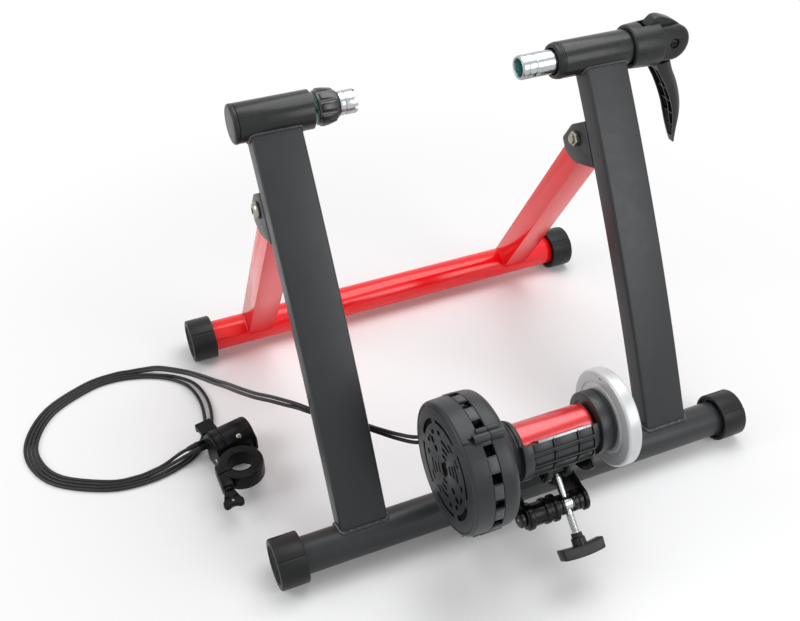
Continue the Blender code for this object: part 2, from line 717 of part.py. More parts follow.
pin_front = -CHEEK_WIDTH / 2
keep(turned("lever_pin", [(CHEEK_WIDTH / 2 - 0.0005, 0.0), (CHEEK_WIDTH / 2 - 0.0005, PIN_R),
                          (pin_front + PIN_HEAD, PIN_R), (pin_front + PIN_HEAD, PIN_HEAD_R),
                          (pin_front + 0.0004, PIN_HEAD_R), (pin_front + 0.0004, 0.0)],
            (PIVOT_X, 0.0, 0.0), ALONG_Y, FINE), "steel", axle)

# the lever's head turns between the cheeks; its handle is a channel open toward the frame
lever_hub = empty("lever_hub", (PIVOT_X, 0.0, 0.0), axle)
head_outline = (arc((0.0, 0.0), 0.0160, -75.0, 62.0, 12)
                + [(0.0000, 0.0215), (-0.0100, 0.0272), (-0.0175, 0.0302), (-0.0230, 0.0302), (-0.0270, 0.0270),
                   (-0.0262, 0.0190), (-0.0205, 0.0110), (-0.0175, 0.0020), (-0.0172, -0.0090),
                   (-0.0180, -0.0200), (-0.0172, -0.0270), (-0.0060, -0.0300), (0.0030, -0.0300),
                   (0.0040, -0.0200)])
lever = plate("cam_lever", [head_outline], LEVER_HEAD, rotation=FRONT_VIEW)
# handle sections: outer x, inner x, height and width
HANDLE = [(0.0042, -0.0178, -0.0215, 0.0240), (0.0085, -0.0118, -0.0330, 0.0262),
          (0.0165, -0.0020, -0.0480, 0.0268), (0.0228, 0.0066, -0.0640, 0.0264),
          (0.0268, 0.0134, -0.0790, 0.0252), (0.0285, 0.0182, -0.0940, 0.0226),
          (0.0290, 0.0222, -0.1080, 0.0180), (0.0304, 0.0262, -0.1210, 0.0120),
          (0.0318, 0.0290, -0.1285, 0.0080)]


def channel(work):
    """A tapering channel section lofted down the handle."""
    rings = []
    for outer, inner, height, width in HANDLE:
        half, wall = width / 2, min(LEVER_WALL, (outer - inner) * 0.45)
        edge = half * 0.45
        section = [(inner, -half), (outer - wall, -half), (outer, -half + edge), (outer, half - edge),
                   (outer - wall, half), (inner, half), (inner, half - wall), (outer - 1.6 * wall, half - wall),
                   (outer - 1.6 * wall, -half + wall), (inner, -half + wall)]
        rings.append([work.verts.new((x, y, height)) for x, y in section])
    count = len(rings[0])
    for upper_ring, lower_ring in zip(rings, rings[1:]):
        for i in range(count):
            j = (i + 1) % count
            work.faces.new((upper_ring[i], upper_ring[j], lower_ring[j], lower_ring[i]))
    work.faces.new(rings[0])
    work.faces.new(rings[-1])
    bmesh.ops.recalc_face_normals(work, faces=work.faces)


handle = mesh_object("lever_handle", channel)
top_cap = box("lever_top", (0.0215, 0.0225, 0.0060), (-0.0068, 0.0, -0.0245))
rib_line = [(o - 0.0015, z) for o, i, z, w in HANDLE] + [(i + 0.0020, z) for o, i, z, w in reversed(HANDLE)]
lever_rib = plate("lever_rib", [rib_line], 0.0020, rotation=FRONT_VIEW)
lever_bore = rod("lever_bore", PIN_R + RUN, 0.0600, rotation=ALONG_Y)
for tool in (handle, top_cap, lever_rib, lever_bore):
    tool.parent = lever_hub
join(lever, handle, top_cap, lever_rib)
keep(cut(lever, lever_bore), "black_plastic", lever_hub)


# welded bracket under the roller unit, in front of the base tube

swing = Vector((SWING_Y, SWING_Z))
cross = Vector((CROSS_Y, CROSS_Z))
swivel = Vector((SWIVEL_Y, SWIVEL_Z))
pin_bore_r = SPINDLE_R + RUN
seat_z = FOOT_REST + TUBE_R + GAP
cheek_outline = (arc(swing, LUG_R, -10.0, 110.0, 8) + [(-0.0400, 0.0985)] + arc(cross, LUG_R, 80.0, 250.0, 10)
                 + [(-0.0500, 0.0590), (-0.0195, 0.0400), (-0.0170, 0.0330), (0.0170, 0.0330)])
bracket = plate("unit_bracket", [cheek_outline], CHEEK_PLATE, (CHEEK_LEFT_X, 0.0, 0.0))
right_cheek = plate("bracket_right_cheek", [cheek_outline], CHEEK_PLATE, (CHEEK_RIGHT_X, 0.0, 0.0))
span = CHEEK_RIGHT_X - CHEEK_LEFT_X
middle = (CHEEK_RIGHT_X + CHEEK_LEFT_X) / 2
floor_plate = box("bracket_seat", (span, 0.0300, 0.0060), (middle, 0.0, seat_z + 0.0020))
front_web = box("bracket_web", (span, 0.0040, 0.0260), (middle, -0.0215, 0.0555))
barrel_from = CHEEK_LEFT_X
barrel = rod("bracket_barrel", BARREL_R, BARREL_END - barrel_from,
             ((BARREL_END + barrel_from) / 2, CROSS_Y, CROSS_Z), sides=FINE)
tube_saddle = rod("bracket_saddle", TUBE_R + GAP, 0.2000, (0.0, 0.0, FOOT_REST), sides=STEPS)
cross_bore = rod("cross_bore", pin_bore_r, 0.2000, (0.0, CROSS_Y, CROSS_Z))
swing_bore = rod("swing_bore", pin_bore_r, 0.2000, (0.0, SWING_Y, SWING_Z))
for tool in (right_cheek, floor_plate, front_web, barrel, tube_saddle, cross_bore, swing_bore):
    tool.parent = trainer
join(bracket, right_cheek, floor_plate, front_web, barrel)
keep(cut(bracket, tube_saddle, cross_bore, swing_bore), "black_paint", trainer)

cheek_out_left = CHEEK_LEFT_X - CHEEK_PLATE / 2
cheek_out_right = CHEEK_RIGHT_X + CHEEK_PLATE / 2
head_face = cheek_out_left - GAP
keep(turned("bracket_bolt", [(-0.0290, 0.0), (-0.0290, SPINDLE_R), (head_face, SPINDLE_R), (head_face, BOLT_HEAD_R),
                             (head_face - BOLT_HEAD + 0.0010, BOLT_HEAD_R),
                             (head_face - BOLT_HEAD, BOLT_HEAD_R - 0.0010), (head_face - BOLT_HEAD, 0.0)],
            (0.0, CROSS_Y, CROSS_Z), steps=FINE), "steel", trainer)
pin_tip = cheek_out_right + 0.0030
keep(turned("swing_pin", [(pin_tip, 0.0), (pin_tip, SPINDLE_R - 0.0008), (pin_tip - 0.0008, SPINDLE_R),
                          (head_face, SPINDLE_R), (head_face, BOLT_HEAD_R),
                          (head_face - 0.0030, BOLT_HEAD_R - 0.0006), (head_face - 0.0030, 0.0)],
            (0.0, SWING_Y, SWING_Z), steps=FINE), "steel", trainer)

cheek_in_right = CHEEK_RIGHT_X - CHEEK_PLATE / 2
for name, low, high in (("bracket_bush_left", BARREL_END + GAP, -TRUNNION_HALF - RUN),
                        ("bracket_bush_right", TRUNNION_HALF + RUN, cheek_in_right - GAP)):
    keep(sleeve(name, 0.0100, SPINDLE_R + RUN, low, high, (0.0, CROSS_Y, CROSS_Z), steps=FINE, edge=0.0006),
         "black_plastic", trainer)

# silver cross pin with journals in the bracket, crossed by the tension screw
rod_axis = (swivel - cross).normalized()
rod_length = (swivel - cross).length
rod_turn = (math.atan2(-rod_axis.x, rod_axis.y), 0.0, 0.0)
trunnion = turned("trunnion", [(TRUNNION_HALF + JOURNAL, 0.0), (TRUNNION_HALF + JOURNAL, SPINDLE_R),
                               (TRUNNION_HALF, SPINDLE_R), (TRUNNION_HALF, TRUNNION_R - 0.0008),
                               (TRUNNION_HALF - 0.0008, TRUNNION_R), (-TRUNNION_HALF + 0.0008, TRUNNION_R),
                               (-TRUNNION_HALF, TRUNNION_R - 0.0008), (-TRUNNION_HALF, SPINDLE_R),
                               (-TRUNNION_HALF - JOURNAL, SPINDLE_R), (-TRUNNION_HALF - JOURNAL, 0.0)],
                  (0.0, CROSS_Y, CROSS_Z), steps=FINE)
rod_hole = rod("trunnion_hole", ROD_R + ROD_PLAY, 0.0400, (0.0, CROSS_Y, CROSS_Z), rod_turn)
rod_hole.parent = trainer
keep(cut(trunnion, rod_hole), "steel", trainer)


# roller unit, swinging on the pin over the base tube

unit = empty("roller_unit", (0.0, UNIT_Y, UNIT_Z), trainer)
BACK, DOWN = SWING_Y - UNIT_Y, SWING_Z - UNIT_Z
swing_here = Vector((BACK, DOWN))
swivel_here = Vector((SWIVEL_Y - UNIT_Y, SWIVEL_Z - UNIT_Z))


def around_unit(angle, radius):
    """A (y, z) point around the roller's axis; 0 degrees is the rear, 90 the top."""
    return Vector((radius * math.cos(math.radians(angle)), radius * math.sin(math.radians(angle))))


outer_r = DRUM_R
cover = turned("drum_outer_cover",
               [(DRUM_FACE + DRUM_WALL, HUB_R), (DRUM_FACE + DRUM_WALL, DRUM_FACE_R - 0.0030),
                (DRUM_FACE + 0.0055, outer_r - DRUM_WALL - 0.0018), (DRUM_SEAM - GAP, outer_r - DRUM_WALL),
                (DRUM_SEAM - GAP, outer_r), (DRUM_FACE + 0.0050, outer_r - 0.0012),
                (DRUM_FACE + 0.0014, DRUM_FACE_R + 0.0014), (DRUM_FACE, DRUM_FACE_R - 0.0020), (DRUM_FACE, 0.0),
                (DRUM_FACE + DRUM_WALL, 0.0), (DRUM_FACE + DRUM_WALL, SHAFT_R + RUN),
                (MAGNET_X[1] + 0.0010, SHAFT_R + RUN), (MAGNET_X[1] + 0.0010, HUB_R)], ring=False)
cover.data.edges.add(1)
cover.data.edges[-1].vertices = (len(cover.data.vertices) - 1, 0)
tools = []
for i in range(4):
    y, z = around_unit(BOSS_ANGLE + 90.0 * i, DRUM_R)
    boss = rod("outer_boss_%d" % i, BOSS_R, BOSS_LENGTH, (DRUM_SEAM - GAP - BOSS_LENGTH / 2, y, z), sides=12)
    boss.parent = unit
    join(cover, boss)
for i in range(WINDOW_COUNT):
    angle = 59.0 + 360.0 * i / WINDOW_COUNT
    y, z = around_unit(angle, DRUM_R)
    tools.append(box("window_%d" % i, (2 * WINDOW_LENGTH, 0.0200, WINDOW_WIDTH), (DRUM_SEAM, y, z),
                     (math.radians(angle), 0.0, 0.0)))
for count, radius, width in ((12, 0.0460, 0.0130), (6, 0.0260, 0.0130)):
    for i in range(count):
        angle = 360.0 * (i + 0.5) / count
        y, z = around_unit(angle, radius)
        tools.append(box("vent_%d_%d" % (count, i), (0.0200, 0.0032, width), (DRUM_FACE, y, z),
                         (math.radians(angle), 0.0, 0.0)))
for tool in tools:
    tool.parent = unit
keep(cut(cover, *tools), "black_plastic", unit)

cover_depth = DRUM_NECK - DRUM_SEAM
shoulder = DRUM_R - DRUM_NECK_R


def cover_point(depth_share, shoulder_share):
    """A profile point of the inner cover: share of its depth from the neck, share of its shoulder's rise."""
    return (DRUM_NECK - cover_depth * depth_share, DRUM_NECK_R + shoulder * shoulder_share)


inner = turned("drum_inner_cover",
               [(DRUM_NECK, BEARING_R + GAP), (DRUM_NECK, DRUM_NECK_R), cover_point(0.107, 0.061),
                cover_point(0.188, 0.300), cover_point(0.236, 0.606), cover_point(0.308, 0.835),
                cover_point(0.442, 0.962), cover_point(0.732, 0.995), (DRUM_SEAM, DRUM_R),
                (DRUM_SEAM, DRUM_R - DRUM_WALL), cover_point(0.571, 0.911),
                cover_point(0.375, 0.784), cover_point(0.308, 0.580), cover_point(0.263, 0.275),
                (DRUM_NECK - cover_depth * 0.263, BEARING_R + GAP)], ring=True)
for i in range(4):
    y, z = around_unit(BOSS_ANGLE + 90.0 * i, DRUM_R)
    boss = rod("inner_boss_%d" % i, BOSS_R, BOSS_LENGTH, (DRUM_SEAM + BOSS_LENGTH / 2, y, z), sides=12)
    boss.parent = unit
    join(inner, boss)
keep(inner, "black_plastic", unit)

keep(sleeve("left_bearing", BEARING_R, SHAFT_R + RUN, DRUM_NECK - 0.0005 - BEARING_WIDTH, DRUM_NECK - 0.0005,
            steps=STEPS), "steel", unit)
keep(sleeve("right_bearing", BEARING_R, SHAFT_R + RUN, FLANGE_X[1] - 0.0030 - BEARING_WIDTH, FLANGE_X[1] - 0.0030,
            steps=STEPS), "steel", unit)

# cradle: a trough under the roller with ribs, a bearing flange, and lugs for the two pivots
def cradle_sector(radius, proud=0.0):
    """A (y, z) sector of the cradle, cut off by a line that may stand over the roller's middle."""
    spare = math.degrees(math.asin(proud / radius))
    return arc((0.0, 0.0), radius, CRADLE_FROM - spare, CRADLE_TO + spare, 16)


cradle_left = DRUM_NECK + GAP
left_plate = 0.0024
trough_from, trough_to = cradle_left + 0.0010, FLANGE_X[0] + 0.0020
cradle = plate("roller_cradle", [cradle_sector(TROUGH_R + TROUGH_WALL)], trough_to - trough_from,
               ((trough_to + trough_from) / 2, 0.0, 0.0))
pieces = [rod("cradle_left_wall", 0.0300, left_plate, (cradle_left + left_plate / 2, 0.0, 0.0), sides=STEPS),
          rod("cradle_flange", FLANGE_R, FLANGE_X[1] - FLANGE_X[0], ((FLANGE_X[1] + FLANGE_X[0]) / 2, 0.0, 0.0),
              sides=STEPS),
          plate("cradle_block", [cradle_sector(CRADLE_R - 0.0006, RIB_PROUD / 2)], RIBS[0] - trough_from - 0.0006,
                ((RIBS[0] + trough_from + 0.0006) / 2, 0.0, 0.0))]
for i, x in enumerate(RIBS):
    pieces.append(plate("cradle_rib_%d" % i, [cradle_sector(CRADLE_R, RIB_PROUD)], RIB, (x, 0.0, 0.0)))
swing_arm = link_outline((swing_here, around_unit(262.0, 0.0230)), (0.0110, 0.0100))
swivel_arm = link_outline((swivel_here, around_unit(258.0, 0.0240)), (0.0112, 0.0130))
arm_left = CHEEK_LEFT_X + CHEEK_PLATE / 2 + RUN + UNIT_LUG / 2
arm_right = CHEEK_RIGHT_X - CHEEK_PLATE / 2 - RUN - UNIT_LUG / 2
swivel_in = SWIVEL_HALF - UNIT_LUG / 2 - 0.0010
for i, x in enumerate((arm_left, arm_right)):
    pieces.append(plate("cradle_swing_arm_%d" % i, [swing_arm], UNIT_LUG, (x, 0.0, 0.0)))
for i, x in enumerate((-swivel_in, swivel_in)):
    pieces.append(plate("cradle_swivel_arm_%d" % i, [swivel_arm], UNIT_LUG, (x, 0.0, 0.0)))
room_from, room_to = cradle_left + left_plate - 0.0010, FLANGE_X[0] + 0.0008
room = rod("cradle_room", TROUGH_R, room_to - room_from, ((room_to + room_from) / 2, 0.0, 0.0), sides=STEPS)
shaft_bore = rod("cradle_shaft_bore", SHAFT_R + 0.0020, 0.2000)
bearing_seat = rod("cradle_bearing_seat", BEARING_R + GAP, 0.0200, (FLANGE_X[1] + 0.0010, 0.0, 0.0))
arm_bore = rod("cradle_swing_bore", SPINDLE_R + RUN, 0.2000, (0.0, swing_here.x, swing_here.y))
swivel_bore = rod("cradle_swivel_bore", SWIVEL_R + RUN, 2 * SWIVEL_HALF + 0.0012, (0.0, swivel_here.x, swivel_here.y))
for tool in pieces + [shaft_bore, bearing_seat, room, arm_bore, swivel_bore]:
    tool.parent = unit
join(cradle, *pieces)
keep(cut(cradle, room, shaft_bore, bearing_seat, arm_bore, swivel_bore), "black_plastic", unit)

strip_at = around_unit(CRADLE_FROM, (TROUGH_R + CRADLE_R) / 2)
strip_off = around_unit(CRADLE_FROM - 90.0, RIB_PROUD + GAP + STRIP_THICK / 2)
strip_y, strip_z = strip_at + strip_off
keep(box("guard_strip", (STRIP_LENGTH, STRIP_WIDTH, STRIP_THICK), (-0.0040, strip_y, strip_z),
         (math.radians(CRADLE_FROM), 0.0, 0.0)), "steel", unit)

# gland on the back of the drum, where the two cables leave toward the left
gland_spot = Vector((0.0240 - UNIT_Y, 0.1100 - UNIT_Z))
gland_angle = math.atan2(gland_spot.y, gland_spot.x)
gland = box("cable_gland", (0.0160, 0.0260, 0.0170), (-0.0760, gland_spot.x - 0.0060, gland_spot.y + 0.0026),
            (gland_angle, 0.0, 0.0))
bevel(gland, 0.0012, 2)
drum_side = rod("gland_saddle", DRUM_R + GAP, 0.1000, (-0.0760, 0.0, 0.0), sides=STEPS)
drum_side.parent = unit
nozzles = []
for i, lift in enumerate((0.0040, -0.0040)):
    tube = rod("gland_nozzle_%d" % i, 0.0034, 0.0200, (-0.0880, gland_spot.x, gland_spot.y + lift), sides=16)
    tube.parent = unit
    nozzles.append(tube)
cut(gland, drum_side)
keep(join(gland, *nozzles), "black_plastic", unit)


# turning pieces on the roller's shaft

spin = empty("roller_axis", (0.0, 0.0, 0.0), unit)
roller_bore = SHAFT_R + GAP
keep(sleeve("roller", ROLLER_R, roller_bore, ROLLER_X[0], ROLLER_X[1] - 0.0005, edge=ROLLER_EDGE), "red_metal", spin)
keep(turned("roller_shaft", [(SHAFT_X[1], 0.0), (SHAFT_X[1], SHAFT_R - 0.0008), (SHAFT_X[1] - 0.0008, SHAFT_R),
                             (SHAFT_X[0] + 0.0008, SHAFT_R), (SHAFT_X[0], SHAFT_R - 0.0008), (SHAFT_X[0], 0.0)],
            steps=FINE), "steel", spin)
keep(turned("flywheel", [(FLYWHEEL_X[1], roller_bore), (FLYWHEEL_X[1], 0.0145),
                         (FLYWHEEL_X[1] - FLYWHEEL_DISH, 0.0145), (FLYWHEEL_X[1] - FLYWHEEL_DISH, FLYWHEEL_R - 0.0075),
                         (FLYWHEEL_X[1], FLYWHEEL_R - 0.0075), (FLYWHEEL_X[1], FLYWHEEL_R - FLYWHEEL_EDGE),
                         (FLYWHEEL_X[1] - FLYWHEEL_EDGE, FLYWHEEL_R), (FLYWHEEL_X[0] + FLYWHEEL_EDGE, FLYWHEEL_R),
                         (FLYWHEEL_X[0], FLYWHEEL_R - FLYWHEEL_EDGE), (FLYWHEEL_X[0], roller_bore)], ring=True), "grey_paint", spin)
nut = rod("flywheel_nut", 0.0095, 0.0060, (FLYWHEEL_X[1] + GAP + 0.0030, 0.0, 0.0), sides=6)
nut_bore = rod("flywheel_nut_bore", roller_bore, 0.0200, (FLYWHEEL_X[1] + 0.0030, 0.0, 0.0))
nut_bore.parent = spin
keep(cut(nut, nut_bore), "steel", spin)
keep(sleeve("brake_disc", DISC_R, roller_bore, DISC_X[0], DISC_X[1]), "aluminium", spin)
carrier = empty("magnet_axis", (0.0, 0.0, 0.0), unit)
keep(sleeve("magnet_plate", MAGNET_R, HUB_R + RUN, MAGNET_X[0], MAGNET_X[1], edge=0.0006), "magnet", carrier)


# tension screw: swivel in the cradle, rod through the cross pin, and the black handle

swivel_frame = empty("swivel_axis", (0.0, SWIVEL_Y, SWIVEL_Z), trainer)
screw = empty("screw_axis", (0.0, 0.0, 0.0), swivel_frame, rod_turn)
barrel_pin = rod("rod_swivel", SWIVEL_R, 2 * SWIVEL_HALF, sides=FINE)
across = rod("swivel_hole", ROD_R + GAP, 0.0400, rotation=rod_turn)
across.parent = swivel_frame
keep(cut(barrel_pin, across), "steel", swivel_frame)

knob_top = -rod_length - ROD_DOWN
keep(turned("tension_rod", [(SWIVEL_R + 0.0036, 0.0), (SWIVEL_R + 0.0036, ROD_R + 0.0010), (SWIVEL_R + 0.0010, ROD_R + 0.0014),
                            (SWIVEL_R + 0.0010, ROD_R - 0.0004), (-SWIVEL_R - 0.0006, ROD_R - 0.0004),
                            (-SWIVEL_R - 0.0014, ROD_R), (knob_top - 0.0100, ROD_R), (knob_top - 0.0100, 0.0)],
            rotation=(0.0, 0.0, 0.0), steps=FINE), "steel", screw)
bar_mid = knob_top - KNOB_HUB - 0.0020
bend = 0.0100
bar_top = [(BAR_LENGTH * (i / 8 - 0.5), bar_mid + BAR_DEPTH / 2 + bend * (2 * i / 8 - 1) ** 2) for i in range(9)]
bar_low = [(BAR_LENGTH * (i / 8 - 0.5) * 0.94, bar_mid - BAR_DEPTH / 2 + bend * (2 * i / 8 - 1) ** 2) for i in range(9)]
grip = plate("tension_knob", [bar_low + bar_top[::-1]], BAR_THICK, rotation=FRONT_VIEW)
bevel(grip, 0.0015, 2, 50.0)
hub = rod("knob_hub", KNOB_HUB_R, KNOB_HUB + 0.0040, (0.0, 0.0, knob_top - (KNOB_HUB + 0.0040) / 2), (0.0, 0.0, 0.0), 12)
rod_socket = rod("knob_socket", ROD_R + GAP, 0.0210, (0.0, 0.0, knob_top), (0.0, 0.0, 0.0))
for tool in (hub, rod_socket):
    tool.parent = screw
join(grip, hub)
keep(cut(grip, rod_socket), "black_plastic", screw)


# handlebar remote, lying on the floor at the left

remote = empty("remote", REMOTE_AT, trainer, (0.0, 0.0, math.radians(REMOTE_TURN)))
to_remote = Matrix.Rotation(math.radians(-REMOTE_TURN), 4, "Z")


def remote_point(x, y, z):
    """A point of the trainer's frame, in the remote's own frame."""
    return to_remote @ (Vector((x, y, z)) - Vector(REMOTE_AT))


half_body = BODY_LENGTH / 2
ring_from = -half_body + 0.0030
ring_to = ring_from + LEVER_RING
core_r = BODY_R - 0.0040
ring_x, ring_y, ring_z = RING_AT
flat_turn = (0.0, 0.0, math.radians(-REMOTE_TURN))
body = turned("remote_body", [(half_body, 0.0), (half_body, BODY_FLANGE_R - 0.0008), (half_body - 0.0008, BODY_FLANGE_R),
                              (half_body - BODY_FLANGE, BODY_FLANGE_R), (half_body - BODY_FLANGE, BODY_R),
                              (ring_to + RUN, BODY_R), (ring_to + RUN, core_r), (ring_from - RUN, core_r),
                              (ring_from - RUN, BODY_R - 0.0008), (-half_body + 0.0008, BODY_R - 0.0008),
                              (-half_body, BODY_R - 0.0016), (-half_body, 0.0)], steps=24)
clamp = rod("remote_clamp", RING_R, RING_HEIGHT, remote_point(*RING_AT), flat_turn, STEPS)
bridge_y = (ring_y + RING_R + REMOTE_AT[1] - BODY_R) / 2
bridge = box("remote_bridge", (RING_R * 1.05, RING_R * 1.05, RING_HEIGHT * 0.94),
             remote_point(ring_x + RING_R * 0.28, bridge_y, ring_z), flat_turn)
ears = box("remote_ears", (0.0120, 0.0330, 0.0120), remote_point(THUMB_X, EAR_FRONT + 0.0165, ring_z), flat_turn)
port_block = box("remote_port", (0.0210, 0.0230, 0.0125), remote_point(-0.2790, 0.1930, 0.0166), flat_turn)
port_end = Vector((-0.2980, 0.1961, 0.0150))
port_way = Vector((0.97, 0.16, 0.0)).normalized()
port_side = Vector((-0.16, 0.97, 0.0)).normalized()
ports = []
for i, shift in enumerate((-0.0038, 0.0038)):
    centre = port_end + port_side * shift + port_way * 0.0080
    lie = to_remote @ port_way.to_track_quat("Z", "Y").to_matrix().to_4x4()
    ports.append(rod("remote_port_tube_%d" % i, 0.0033, 0.0160, remote_point(*centre), lie, 12))
# the end plate stands proud of the barrel, and the remote stands on a plate at its other end
end_plate = plate("remote_end_plate", [END_PLATE], END_PLATE_THICK, (half_body - 0.0030, 0.0, 0.0))
stand = plate("remote_stand", [STAND], STAND_THICK, (-half_body + STAND_THICK / 2 + 0.0002, 0.0, 0.0))
# the lever ring's room, kept clear of everything but the barrel's core
for tool in [clamp, bridge, port_block] + ports:
    clear = rod(tool.name + "_clear", LEVER_RING_R + RUN, LEVER_RING + 2 * RUN, ((ring_from + ring_to) / 2, 0.0, 0.0))
    clear.parent = remote
    cut(tool, clear)
bar_hole = rod("remote_bar_hole", RING_BORE_R, 0.0600, remote_point(*RING_AT), flat_turn, STEPS)
slit = box("remote_slit", (0.0300, CLAMP_SLIT, 0.0400), remote_point(ring_x - 0.0240, ring_y, ring_z), flat_turn)
screw_hole = rod("remote_screw_hole", THUMB_R + RUN, 0.0430, remote_point(THUMB_X, EAR_FRONT + 0.0190, ring_z),
                 Matrix.Rotation(math.radians(-REMOTE_TURN), 4, "Z") @ Euler(ALONG_Y).to_matrix().to_4x4(), 12)
for tool in [clamp, bridge, ears, port_block, end_plate, stand] + ports + [bar_hole, slit, screw_hole]:
    tool.parent = remote
join(body, end_plate, stand, port_block, *ports, bridge, clamp, ears)
keep(cut(body, bar_hole, slit, screw_hole), "black_plastic", remote)

keep(sleeve("clamp_liner", RING_BORE_R - GAP, RING_BORE_R - GAP - LINER_WALL, -RING_HEIGHT / 2 - 0.0004,
            RING_HEIGHT / 2 + 0.0004, RING_AT, (0.0, 0.0, 0.0)), "rubber", trainer)

remote_ring = sleeve("remote_lever", LEVER_RING_R, core_r + RUN, ring_from, ring_to, steps=24)
tab = box("remote_tab", (0.0190, 0.0200, 0.0060), (ring_from + 0.0050, 0.0240, 0.0080))
bevel(tab, 0.0010, 1)
tab_lip = box("remote_tab_lip", (0.0190, 0.0040, 0.0100), (ring_from + 0.0050, 0.0320, 0.0060))
tab_room = rod("remote_tab_room", BODY_R + RUN, 0.0300, (ring_to + RUN + 0.0150, 0.0, 0.0), sides=24)
tab_room_left = rod("remote_tab_room_left", BODY_R + RUN, 0.0300, (ring_from - RUN - 0.0150, 0.0, 0.0), sides=24)
tab_core = rod("remote_tab_core", core_r + RUN, 0.0600, sides=24)
for tool in (tab, tab_lip, tab_room, tab_room_left, tab_core):
    tool.parent = remote
join(remote_ring, tab, tab_lip)
keep(cut(remote_ring, tab_room, tab_room_left, tab_core), "black_plastic", remote)

thumb = empty("thumb_axis", (THUMB_X, EAR_FRONT, ring_z), trainer)
thumb_screw = turned("thumbscrew", [(0.0360, 0.0), (0.0360, THUMB_R), (-GAP, THUMB_R), (-GAP, 0.0058),
                                    (-0.0035, 0.0058), (-0.0035, 0.0036), (-0.0120, 0.0036), (-0.0120, 0.0)],
                     rotation=ALONG_Y, steps=12)
wing = box("thumb_wing", (0.0075, 0.0150, 0.0230), (0.0, -0.0175, 0.0))
bevel(wing, 0.0015, 2)
wing.parent = thumb
join(thumb_screw, wing)
keep(thumb_screw, "black_plastic", thumb)


# the two cables, from the gland over the floor to the coil, and the coil itself

# route of the pair: place, tilt of the pair in degrees (0 is side by side), half their spacing
ROUTE = [((-0.0984, 0.0240, 0.1100), 90.0, 0.0040), ((-0.1110, 0.0262, 0.1098), 85.0, 0.0034),
         ((-0.1262, 0.0420, 0.1070), 80.0, 0.0026), ((-0.1430, 0.0610, 0.1062), 85.0, 0.0022),
         ((-0.1600, 0.0725, 0.1120), 90.0, 0.0022), ((-0.1780, 0.0785, 0.1200), 90.0, 0.0022),
         ((-0.1950, 0.0862, 0.1268), 90.0, 0.0022), ((-0.2075, 0.1000, 0.1275), 80.0, 0.0022),
         ((-0.2157, 0.1163, 0.1210), 60.0, 0.0022), ((-0.2252, 0.1383, 0.1110), 50.0, 0.0022),
         ((-0.2353, 0.1620, 0.0990), 45.0, 0.0022), ((-0.2446, 0.1904, 0.0850), 40.0, 0.0022),
         ((-0.2533, 0.2264, 0.0660), 30.0, 0.0022), ((-0.2596, 0.2539, 0.0500), 20.0, 0.0022),
         ((-0.2660, 0.2830, 0.0340), 10.0, 0.0022), ((-0.2735, 0.3085, 0.0210), 0.0, 0.0022),
         ((-0.2840, 0.3290, 0.0126), 0.0, 0.0022)]
# the coil keeps clear of the rear foot when the frame folds
COIL = [(-0.2744, 0.2640), (-0.2744, 0.2890), (-0.2795, 0.3140), (-0.2925, 0.3345), (-0.3105, 0.3485),
        (-0.3330, 0.3580), (-0.3620, 0.3635), (-0.3950, 0.3590), (-0.4420, 0.3340), (-0.4680, 0.2940),
        (-0.4700, 0.2560), (-0.4500, 0.2190), (-0.4010, 0.1900), (-0.3580, 0.1850), (-0.3190, 0.1950),
        (-0.2975, 0.2110), (-0.2810, 0.2370)]


def cable_route(sign):
    """One cable of the pair: the shared route, offset to its side, leaving the gland squarely."""
    places = [Vector(spot) for spot, tilt, half in ROUTE]
    out = []
    for i, here in enumerate(places):
        tilt, half = ROUTE[i][1:]
        way = (places[min(i + 1, len(places) - 1)] - places[max(i - 1, 0)]).normalized()
        if i == 0:
            way = Vector((-1.0, 0.0, 0.0))
        level = way.cross(Vector((0.0, 0.0, 1.0))).normalized()
        up = level.cross(way).normalized()
        turn = math.radians(tilt)
        out.append(here + (level * math.cos(turn) + up * math.sin(turn)) * (half * sign))
    path = smooth_path(out, 0.0098)
    path[1].yz = path[0].yz.lerp(path[1].yz, 0.2)
    return path


for name, sign in (("upper_cable", 1), ("lower_cable", -1)):
    keep(pipe(name, cable_route(sign), CABLE_R), "cable_skin", trainer)

coil = pipe("cable_coil", smooth_path([(x, y, 0.0) for x, y in COIL], 0.0160, True), COIL_HALF_WIDTH, 2, True)
coil.data.transform(Matrix.Scale(COIL_HEIGHT / (2 * COIL_HALF_WIDTH), 4, (0.0, 0.0, 1.0)))
coil.location = (0.0, 0.0, COIL_HEIGHT / 2 + 0.0001)
keep(coil, "cable_skin", trainer)

for made in PARTS.objects:
    if made.type == "MESH":
        made.data.shade_smooth()
        made.data.set_sharp_from_angle(angle=math.radians(35.0))
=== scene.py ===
"""Magnetic bike trainer with a cable remote: finished pieces, finishes, light and camera. Metres, +Z up."""
import math

import bmesh
import bpy
from mathutils import Matrix, Vector


